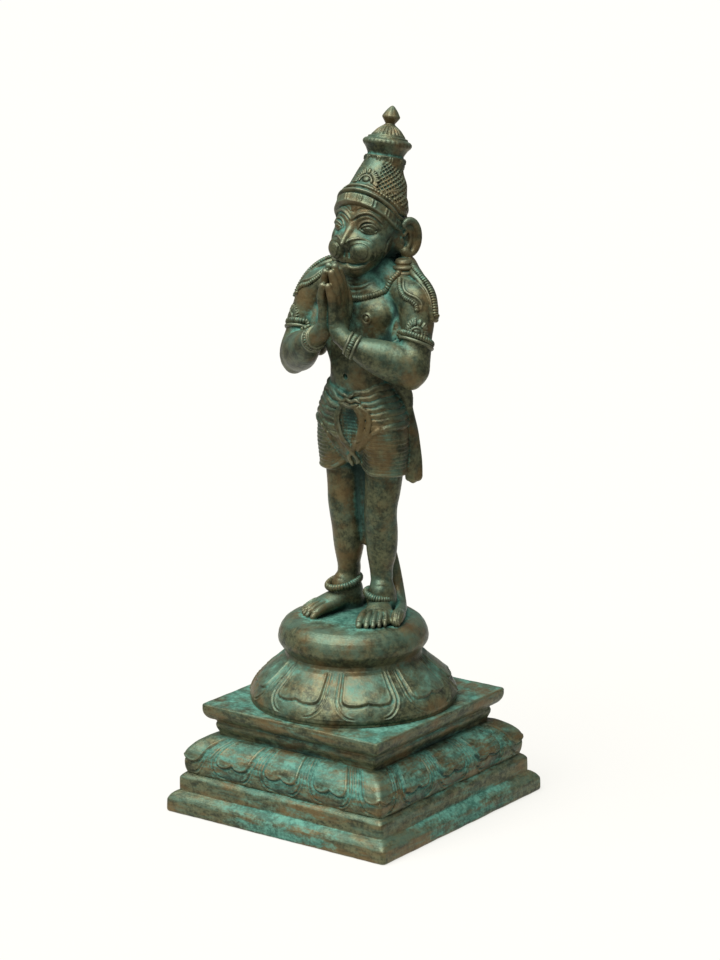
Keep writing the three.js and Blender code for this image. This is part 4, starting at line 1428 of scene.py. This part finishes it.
def petal_relief(across, down, width, length, corner, panel_end, lobe):
    """The height of a petal: two raised outlines and a raised panel with a two-lobed lower edge."""
    outer = quarter_turn(across, down, width, corner, length)
    start = np.clip(down / 3, 0, 1)
    tip = np.clip((across / width - 0.3) / 0.25, 0, 1)
    ridges = 0.6 * line(outer, 0.55) * tip
    ridges = ridges + 0.42 * line(outer + 1.9, 0.5) * np.clip(tip * 1.5 - 0.5, 0, 1)
    panel_width = width - 4.2
    edge = panel_end + lobe * np.abs(np.sin(np.clip(across / panel_width, 0, 1) * math.pi)) ** 0.8
    panel = -smooth_min(panel_width - across, edge - down, 3.2)
    swell = 0.9 * eased(0.5 - panel, 0, 1) * (1 - 0.35 * (across / panel_width) ** 2)
    brim = 0.3 * line(panel + 0.6, 0.5) - 0.35 * line(panel - 0.8, 0.6)
    dip = -0.35 * line(outer + 0.9, 0.45) * tip
    leaf = 0.35 * np.clip(outer / 2, 0, 1)
    return (ridges + swell + brim + dip + leaf) * start


def way_down(rows, top, foot):
    """How far down the outline from height `top` each row lies, and whether it is above `foot` too."""
    steps = np.linalg.norm(np.diff(rows, axis=0, append=rows[:1]), axis=1)
    place = np.cumsum(steps) - steps
    rising = np.roll(rows[:, 1], -1) > rows[:, 1]
    outside = rising & (rows[:, 1] <= top) & (rows[:, 1] >= foot)
    highest = place[outside].max()
    return highest - place, outside


# The longest step down the outline where petals are carved.
FINE = 0.45

SKIRT_PETALS = 8
SKIRT_REACH = 48.0


def skirt():
    """The pedestal's bell of petals, from its foot on the plinth up into the cushion."""
    corners = [
        [58.6, PLINTH_TOP + 0.1, 0.2, 1], [58.4, 64.3, 0.3, 1], [58.9, 64.7, 0.3, 0.5],
        [59.0, 65.9, 0.5, FINE], [58.9, SKIRT_FOOT, 0.4, FINE], [57.6, 70.3, 2.0, FINE],
        [54.9, 74.2, 2.0, FINE], [50.0, 78.8, 2.0, FINE], [45.2, 82.8, 2.0, FINE],
        [41.2, 86.4, 2.0, FINE], [38.9, SKIRT_TOP, 1.0, FINE], [38.2, 91.6, 0.5, 1],
        [0, 91.8, 0, 12], [0, PLINTH_TOP + 0.1, 0, 40],
    ]
    rows = outline(corners)
    loop = round_loop(480)
    down, on_slope = way_down(rows, SKIRT_TOP + 0.2, SKIRT_FOOT - 0.1)
    length = down[on_slope].max()
    half = math.pi / SKIRT_PETALS
    turn = loop[2] % (2 * half)
    across = np.minimum(turn, 2 * half - turn)[None, :] * SKIRT_REACH
    width = half * SKIRT_REACH - 1.7
    relief = petal_relief(
        across, down[:, None], width, length + 0.6,
        corner=length * 0.52, panel_end=length * 0.68, lobe=1.5,
    )
    relief = np.where(on_slope[:, None], 1.25 * relief, 0)
    return swept("lotus_skirt", rows, loop, relief + uneven(rows, loop, 0.25), age_and_shade=0.04)


BAND_HALF = 69.0
BAND_PETAL = 34.6
PLINTH_CORNER = 0.03


def plinth_band():
    """The plinth's swelling band, with three whole petals on each side and one round each corner."""
    corners = [
        [68.3, BAND_FOOT, 0.8, FINE], [69.4, 25.5, 1.5, FINE], [69.8, 30.0, 2.5, FINE],
        [68.2, 35.2, 2.5, FINE], [64.4, 39.4, 2.5, FINE], [59.4, 42.4, 2.5, FINE],
        [54.6, BAND_TOP, 0.5, 4], [52, 42, 0, 6], [62, 30, 0, 6], [64, BAND_FOOT, 0, 4],
    ]
    rows = outline(corners)
    loop = square_loop(side_count=200, corner_count=7, corner=PLINTH_CORNER)
    down, on_face = way_down(rows, BAND_TOP + 0.1, BAND_FOOT - 0.1)
    length = down[on_face].max()
    place = loop[2] * BAND_HALF
    half = BAND_PETAL / 2
    beside = np.abs((place + half) % BAND_PETAL - half)
    across = np.where(place < 1.5 * BAND_PETAL, beside, BAND_HALF - place)[None, :]
    width = half - 1.3
    relief = petal_relief(
        across, down[:, None], width, length - 1.8,
        corner=length * 0.5, panel_end=length * 0.62, lobe=2.3,
    )
    relief = np.where(on_face[:, None], 1.4 * relief, 0)
    return swept("petal_band", rows, loop, relief + uneven(rows, loop, 0.2), age_and_shade=0.07)


def mouldings():
    """The plinth's blocks and mouldings, hollow beneath."""
    ceiling = PLINTH_TOP - PLINTH_WALL
    corners = [
        [76.6, 0.0, 0.9, 2], [77.2, 1.0, 0.9, 2], [77.1, 7.4, 0.7, 1], [75.6, 9.8, 0.9, 1],
        [73.6, 11.4, 0.8, 1], [71.8, 12.2, 0.5, 1], [71.7, 20.0, 0.7, 1], [70.4, 21.6, 0.7, 1],
        [68.8, 22.6, 0.7, 1], [67.0, 23.5, 0.5, 6], [62, 36, 0, 8], [55.0, 43.0, 0.5, 2],
        [55.0, 45.6, 0.8, 1], [56.3, 48.6, 0.6, 1], [56.6, 50.4, 0.7, 1], [56.0, 52.2, 0.5, 1],
        [57.2, 53.4, 0.6, 1], [59.6, 54.3, 1.2, 1], [61.3, 56.6, 1.2, 1], [61.9, 59.0, 0.8, 1.5],
        [61.9, 62.2, 0.5, 1], [61.3, PLINTH_TOP, 0.4, 1.5], [54, PLINTH_TOP, 0, 6],
        [0, PLINTH_TOP, 0, 30], [0, ceiling, 0, 10], [50.0, ceiling, 2, 6], [50.0, 45, 3, 6],
        [62.5, 30, 3, 6], [66.0, 18, 3, 6], [72.0, 6, 2, 4], [72.2, 0.0, 0.5, 2],
    ]
    rows = outline(corners)
    loop = square_loop(side_count=60, corner_count=7, corner=PLINTH_CORNER)
    return swept("plinth_mouldings", rows, loop, uneven(rows, loop, 0.2), age_and_shade=0.06)


# SKIN


def skin_volume(sculpture, low, high, step):
    """The distance on a grid, worked out only in the blocks near the skin."""
    counts = [math.ceil(size / step / BLOCK) for size in high - low]
    volume = np.empty([count * BLOCK for count in counts], np.float32)
    blocks = np.stack(np.meshgrid(*[np.arange(n) for n in counts], indexing="ij"), -1).reshape(-1, 3)
    span = BLOCK * step
    middles = low + (blocks + 0.5) * span - step / 2
    rough = sculpture.distance(middles.T.astype(np.float32))
    reach = span * math.sqrt(3) / 2 * BLOCK_SHARE + CARVING_ROOM
    ticks = np.arange(BLOCK) * step
    offsets = np.stack(np.meshgrid(ticks, ticks, ticks, indexing="ij")).reshape(3, -1).astype(np.float32)

    def fill(index):
        i, j, k = blocks[index] * BLOCK
        where = (slice(i, i + BLOCK), slice(j, j + BLOCK), slice(k, k + BLOCK))
        if abs(rough[index]) > reach:
            volume[where] = math.copysign(SKIN_DEPTH, rough[index])
            return
        corner = low.astype(np.float32) + blocks[index].astype(np.float32) * span
        box = (corner.astype(float), corner.astype(float) + span)
        d = sculpture.distance(offsets + corner[:, None], box)
        volume[where] = np.clip(d, -SKIN_DEPTH, SKIN_DEPTH).reshape(BLOCK, BLOCK, BLOCK)

    with ThreadPoolExecutor(4) as pool:
        list(pool.map(fill, range(len(blocks))))
    return volume


def mesh_from(name, points, quads, triangles=()):
    """A mesh object from points in the figure's millimetres above the pedestal."""
    mesh = bpy.data.meshes.new(name)
    loops = np.concatenate([np.asarray(quads, np.int32).ravel(), np.asarray(triangles, np.int32).ravel()])
    sizes = np.concatenate([np.full(len(quads), 4), np.full(len(triangles), 3)]).astype(np.int32)
    mesh.vertices.add(len(points))
    mesh.vertices.foreach_set("co", ((points + (0, 0, PLATFORM)) * MM).astype(np.float32).ravel())
    mesh.loops.add(len(loops))
    mesh.loops.foreach_set("vertex_index", loops)
    mesh.polygons.add(len(sizes))
    mesh.polygons.foreach_set("loop_start", np.concatenate([[0], np.cumsum(sizes)[:-1]]).astype(np.int32))
    mesh.update(calc_edges=True)
    mesh.validate()
    mesh.shade_smooth()
    return linked(name, mesh)


def points_of(piece):
    co = np.empty(len(piece.data.vertices) * 3, np.float32)
    piece.data.vertices.foreach_get("co", co)
    return co.reshape(-1, 3) / MM - (0, 0, PLATFORM)


def simplified(piece, triangles):
    """The piece with about so many triangles, most of them where its skin bends."""
    faces = sum(len(p.vertices) - 2 for p in piece.data.polygons)
    if faces <= triangles:
        return piece
    modifier = piece.modifiers.new("Simplify", "DECIMATE")
    modifier.ratio = triangles / faces
    graph = bpy.context.evaluated_depsgraph_get()
    mesh = bpy.data.meshes.new_from_object(piece.evaluated_get(graph))
    old = piece.data
    piece.modifiers.clear()
    piece.data = mesh
    mesh.name = old.name
    bpy.data.meshes.remove(old)
    mesh.shade_smooth()
    return piece


def blurred(volume, reach, passes=2):
    """The volume's running mean over 2 reach + 1 samples each way."""
    for axis in range(3):
        for _ in range(passes):
            pad = [(0, 0)] * 3
            pad[axis] = (reach + 1, reach)
            total = np.cumsum(np.pad(volume, pad, mode="edge"), axis=axis, dtype=np.float64)
            ahead = np.take(total, np.arange(2 * reach + 1, total.shape[axis]), axis=axis)
            behind = np.take(total, np.arange(0, total.shape[axis] - 2 * reach - 1), axis=axis)
            volume = ((ahead - behind) / (2 * reach + 1)).astype(np.float32)
    return volume


def sampled(volume, points, low, step):
    """The volume's value at points, between its samples."""
    place = (points - np.asarray(low)) / step
    place = np.clip(place, 0, np.array(volume.shape) - 1.001)
    cell = place.astype(int)
    t = place - cell
    total = 0
    for corner in np.ndindex(2, 2, 2):
        weight = np.prod(np.where(corner, t, 1 - t), axis=1)
        total = total + weight * volume[tuple((cell + corner).T)]
    return total


def keep_value(piece, name, values):
    layer = piece.data.attributes.new(name, "FLOAT", "POINT")
    layer.data.foreach_set("value", values.astype(np.float32))


class Skinned:
    """A sculpture's distances on a grid fitted round it."""

    def __init__(self, sculpture, step):
        shape = sculpture.as_shape()
        self.low = shape.low - GRID_ROOM
        self.step = step
        self.volume = skin_volume(sculpture, self.low, shape.high + GRID_ROOM, step)

    def mesh(self, name):
        grid = openvdb.FloatGrid(SKIN_DEPTH)
        grid.copyFromArray(self.volume)
        points, triangles, quads = grid.convertToPolygons(0.0, 0.0)
        return mesh_from(name, points * self.step + self.low, quads, triangles)

    def crowding(self, reach):
        """How much of the room within `reach` of each sample is solid, from 0 to 1."""
        solid = np.clip(0.5 - self.volume / self.step / 2, 0, 1)
        return blurred(solid, max(1, round(reach / self.step)))


def mark_hollows(piece, own, whole, wide_crowding):
    """Keeps on each point how deep it lies in a fine crease and in a wide hollow, 0.5 on flat skin."""
    points = points_of(piece)
    keep_value(piece, "crease", sampled(own.crowding(CREASE_REACH), points, own.low, own.step))
    keep_value(piece, "hollow", sampled(wide_crowding, points, whole.low, whole.step))


# MATERIALS


class Graph:
    """A material's nodes. Each method adds one and gives the socket that it puts out."""

    def __init__(self, name):
        self.material = bpy.data.materials.new(name)
        self.material.use_nodes = True
        self.nodes = self.material.node_tree.nodes
        self.shader = self.nodes["Principled BSDF"]
        self.place = self.nodes.new("ShaderNodeTexCoord").outputs

    def feed(self, socket, value):
        """Links another node's socket, or sets a colour or a number."""
        if isinstance(value, bpy.types.NodeSocket):
            self.material.node_tree.links.new(value, socket)
        elif isinstance(value, tuple):
            socket.default_value = (*value, 1)
        else:
            socket.default_value = value

    def kept(self, name):
        made = self.nodes.new("ShaderNodeAttribute")
        made.attribute_name = name
        return made.outputs["Fac"]

    def height_of(self, vector):
        made = self.nodes.new("ShaderNodeSeparateXYZ")
        self.feed(made.inputs[0], vector)
        return made.outputs["Z"]

    def noise(self, scale, detail, rough, flat=1.0):
        """Noise whose spots are `flat` times wider than high."""
        squeezed = self.nodes.new("ShaderNodeMapping")
        squeezed.inputs["Scale"].default_value = (1, 1, flat)
        self.feed(squeezed.inputs["Vector"], self.place["Object"])
        made = self.nodes.new("ShaderNodeTexNoise")
        self.feed(made.inputs["Vector"], squeezed.outputs["Vector"])
        for name, value in (("Scale", scale), ("Detail", detail), ("Roughness", rough)):
            self.feed(made.inputs[name], value)
        return made.outputs["Fac"]

    def maths(self, kind, a, b):
        made = self.nodes.new("ShaderNodeMath")
        made.operation = kind
        self.feed(made.inputs[0], a)
        self.feed(made.inputs[1], b)
        return made.outputs[0]

    def times(self, a, b):
        return self.maths("MULTIPLY", a, b)

    def total(self, first, *terms):
        """A value or number, and to it each (value, share) of the rest."""
        for value, share in terms:
            first = self.maths("ADD", first, self.times(value, share))
        return first

    def ramp(self, value, low, high):
        made = self.nodes.new("ShaderNodeMapRange")
        made.interpolation_type = "SMOOTHSTEP"
        for name, given in (("Value", value), ("From Min", low), ("From Max", high)):
            self.feed(made.inputs[name], given)
        return made.outputs["Result"]

    def mix(self, share, a, b):
        made = self.nodes.new("ShaderNodeMix")
        made.data_type = "RGBA"
        self.feed(made.inputs["Factor"], share)
        self.feed(made.inputs[6], a)
        self.feed(made.inputs[7], b)
        return made.outputs[2]

    def bump(self, height, strength, distance):
        made = self.nodes.new("ShaderNodeBump")
        for name, value in (("Strength", strength), ("Distance", distance), ("Height", height)):
            self.feed(made.inputs[name], value)
        return made.outputs["Normal"]


DARK_OLIVE = (0.030, 0.036, 0.019)
PALE_OLIVE = (0.124, 0.130, 0.066)
BROWN = (0.165, 0.102, 0.037)
GREEN_FILM = (0.088, 0.158, 0.108)
RUBBED_METAL = (0.24, 0.245, 0.16)
DARK_VERDIGRIS = (0.020, 0.088, 0.064)
PALE_VERDIGRIS = (0.090, 0.250, 0.190)
# Near-black green that stands in for shade, painted into creases, hollows and faces that turn sideways or
# down.
PAINTED_SHADE_COLOUR = (0.008, 0.022, 0.017)

# What all that gathers verdigris has to add up to before it shows, and before it covers the metal.
RUST_SHOWS = 1.87
RUST_COVERS = 2.17


def bare_bronze(graph, flat, fine, streaks, mottle, settled):
    """Olive and brown metal under a thin green film, rubbed paler on its edges."""
    patches = graph.noise(34, 5, 0.62, flat=flat**0.6)
    olive = graph.mix(graph.ramp(mottle, 0.40, 0.61), DARK_OLIVE, PALE_OLIVE)
    brown = graph.mix(graph.times(graph.ramp(patches, 0.46, 0.62), 0.6), olive, BROWN)
    film = graph.times(graph.ramp(graph.total(streaks, (settled, 0.14)), 0.50, 0.78), 0.74)
    rubbed = graph.times(graph.ramp(graph.maths("SUBTRACT", 0.5, fine), 0.05, 0.24), 0.5)
    return graph.mix(rubbed, graph.mix(film, brown, GREEN_FILM), RUBBED_METAL)


def rust_share(graph, fine, wide, streaks, mottle, settled):
    """How much verdigris covers a place: more in hollows, on upward faces and low down near the ground."""
    above = graph.height_of(graph.place["Object"])
    drying = graph.maths("SUBTRACT", 1.0, graph.ramp(above, 0.002, 0.016))
    puddle = graph.times(graph.ramp(above, -0.004, 0.0), drying)
    terms = ((wide, 1.5), (streaks, 0.85), (mottle, 0.55), (settled, 0.1), (puddle, 0.26))
    gathered = graph.total(graph.times(fine, 0.8), *terms)
    return graph.times(graph.ramp(gathered, RUST_SHOWS, RUST_COVERS), 0.92)


def bronze(name, flat):
    """Aged bronze: rubbed edges, green-blue rust in hollows, and painted shade that darkens the deepest
    lines, the wide hollows and the faces that turn away from above. Its streaks are `flat` times wider
    than high."""
    graph = Graph(name)
    fine, wide = graph.kept("crease"), graph.kept("hollow")
    blotches = graph.noise(130, 5, 0.7, flat=flat**0.4)
    streaks = graph.noise(50, 6, 0.7, flat=flat)
    specks = graph.noise(520, 4, 0.7)
    grain = graph.noise(1100, 3, 0.6)
    mottle = graph.total(graph.times(blotches, 0.6), (specks, 0.4))
    settled = graph.ramp(graph.height_of(graph.place["Normal"]), -0.4, 0.8)
    share = rust_share(graph, fine, wide, streaks, mottle, settled)
    metal = bare_bronze(graph, flat, fine, streaks, mottle, settled)
    verdigris = graph.mix(graph.ramp(mottle, 0.4, 0.62), DARK_VERDIGRIS, PALE_VERDIGRIS)
    # Painted shade: fine creases are darkened, and so are wide hollows, more where the skin faces sideways
    # or down than up.
    lines = graph.times(graph.ramp(fine, 0.60, 0.74), 0.8)
    shade = graph.times(graph.ramp(graph.total(wide, (settled, -0.16)), 0.505, 0.63), 0.85)
    painted_shade = graph.maths("MAXIMUM", lines, shade)
    for socket, value in (
        ("Base Color", graph.mix(painted_shade, graph.mix(share, metal, verdigris), PAINTED_SHADE_COLOUR)),
        ("Metallic", graph.total(0.45, (share, -0.4))),
        ("Roughness", graph.total(0.34, (share, 0.32), (grain, 0.16))),
        ("Specular IOR Level", 0.3),
        ("Normal", graph.bump(graph.total(mottle, (grain, 0.5)), 0.5, 0.0005)),
    ):
        graph.feed(graph.shader.inputs[socket], value)
    return graph.material


# PICTURE


# The camera's place round the object, its distance from what it looks at, its focal length in pixels of a
# picture FRAME_PIXELS high, and what it looks at, all in millimetres.
AZIMUTH = math.radians(36.8)
ELEVATION = math.radians(14.85)
ROLL = math.radians(-0.5)
CAMERA_DISTANCE = 2100
FOCAL_PIXELS = 3743.0
FRAME_PIXELS = 960
AIM_ASIDE = 4.5
AIM_HEIGHT = 189.8
SENSOR = 36

TOWARD = Vector((math.sin(AZIMUTH), -math.cos(AZIMUTH), 0))
RIGHT = Vector((math.cos(AZIMUTH), math.sin(AZIMUTH), 0))


def linked(name, data):
    made = bpy.data.objects.new(name, data)
    bpy.context.scene.collection.objects.link(made)
    return made


def place_camera():
    back = TOWARD * math.cos(ELEVATION) + Vector((0, 0, math.sin(ELEVATION)))
    up = back.cross(RIGHT)
    aim = Vector((0, 0, AIM_HEIGHT)) + RIGHT * AIM_ASIDE
    data = bpy.data.cameras.new("camera")
    data.sensor_width = SENSOR
    data.lens = SENSOR * FOCAL_PIXELS / FRAME_PIXELS
    data.clip_start = 0.1
    data.clip_end = 50
    camera = linked("camera", data)
    camera.location = (aim + back * CAMERA_DISTANCE) * MM
    across = RIGHT * math.cos(ROLL) + up * math.sin(ROLL)
    upward = -RIGHT * math.sin(ROLL) + up * math.cos(ROLL)
    camera.rotation_euler = Matrix((across, upward, back)).transposed().to_euler()
    bpy.context.scene.camera = camera


# Where the soft main light comes from, seen from the object.
SUN_PLACE = Vector((-0.1, -0.55, 1.35))
SUN_POWER = 5.7
SUN_WIDTH = math.radians(60)
SKY_POWER = 0.27

# How far the floor reaches towards the camera and away from it, and half its width there, in metres.
FLOOR_AHEAD, FLOOR_HALF_AHEAD = 0.36, 0.3
FLOOR_BEHIND, FLOOR_HALF_BEHIND = 4.2, 0.9

# The paper's colour, how bright it is of itself and how much light it sends back.
PAPER = (1.0, 0.988, 0.94)
FLOOR_GLOW = 0.72
PAPER_SHADE = 0.16


def sun():
    data = bpy.data.lights.new("softbox", "SUN")
    data.energy = SUN_POWER
    data.angle = SUN_WIDTH
    lamp = linked("softbox", data)
    lamp.rotation_euler = (-SUN_PLACE).to_track_quat("-Z", "Y").to_euler()


def paper():
    material = bpy.data.materials.new("paper")
    material.use_nodes = True
    shader = material.node_tree.nodes["Principled BSDF"]
    shader.inputs["Base Color"].default_value = (*[c * PAPER_SHADE for c in PAPER], 1)
    shader.inputs["Roughness"].default_value = 1.0
    shader.inputs["Specular IOR Level"].default_value = 0.0
    shader.inputs["Emission Color"].default_value = (*PAPER, 1)
    shader.inputs["Emission Strength"].default_value = FLOOR_GLOW
    return material


def studio():
    """Bright paper under the object and behind it, a pale surround and a soft sun."""
    corners = [
        TOWARD * FLOOR_AHEAD - RIGHT * FLOOR_HALF_AHEAD,
        TOWARD * FLOOR_AHEAD + RIGHT * FLOOR_HALF_AHEAD,
        -TOWARD * FLOOR_BEHIND + RIGHT * FLOOR_HALF_BEHIND,
        -TOWARD * FLOOR_BEHIND - RIGHT * FLOOR_HALF_BEHIND,
    ]
    mesh = bpy.data.meshes.new("floor")
    mesh.from_pydata(corners, [], [(0, 1, 2, 3)])
    mesh.materials.append(paper())
    floor = linked("floor", mesh)
    world = bpy.data.worlds.new("studio")
    world.use_nodes = True
    background = world.node_tree.nodes["Background"]
    background.inputs["Color"].default_value = (1, 1, 1, 1)
    background.inputs["Strength"].default_value = SKY_POWER
    bpy.context.scene.world = world
    sun()
    bpy.context.scene.view_settings.view_transform = "Standard"


# EVERYTHING TOGETHER


def sculpted_pieces():
    """The body, head and crown as marked meshes, and the cords that lie on them."""
    body, head, crown, cords = build_figure()
    everything = Sculpture()
    for sculpture in (body, head, crown):
        everything.add(sculpture.as_shape(), 0)
    whole = Skinned(everything, WHOLE_STEP)
    wide_crowding = whole.crowding(HOLLOW_REACH)
    pieces = []
    for name, sculpture, step, triangles in (
        ("body", body, BODY_STEP, BODY_TRIANGLES),
        ("head", head, HEAD_STEP, HEAD_TRIANGLES),
        ("crown", crown, CROWN_STEP, CROWN_TRIANGLES),
    ):
        own = Skinned(sculpture, step)
        piece = simplified(own.mesh(name), triangles)
        mark_hollows(piece, own, whole, wide_crowding)
        pieces.append(piece)
    return [*pieces, cords.mesh("beadwork")]


def dress(piece, node, metal):
    piece.data.materials.append(metal)
    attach(piece, "root")
    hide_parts(node)


place_camera()
figure_metal = bronze("aged_bronze", 1.3)
plinth_metal = bronze("aged_bronze_plinth", 6.0)
for piece in (*sculpted_pieces(), skirt()):
    dress(piece, "figure_on_lotus", figure_metal)
for piece in (plinth_band(), mouldings()):
    dress(piece, "square_plinth", plinth_metal)
studio()
bpy.context.view_layer.update()
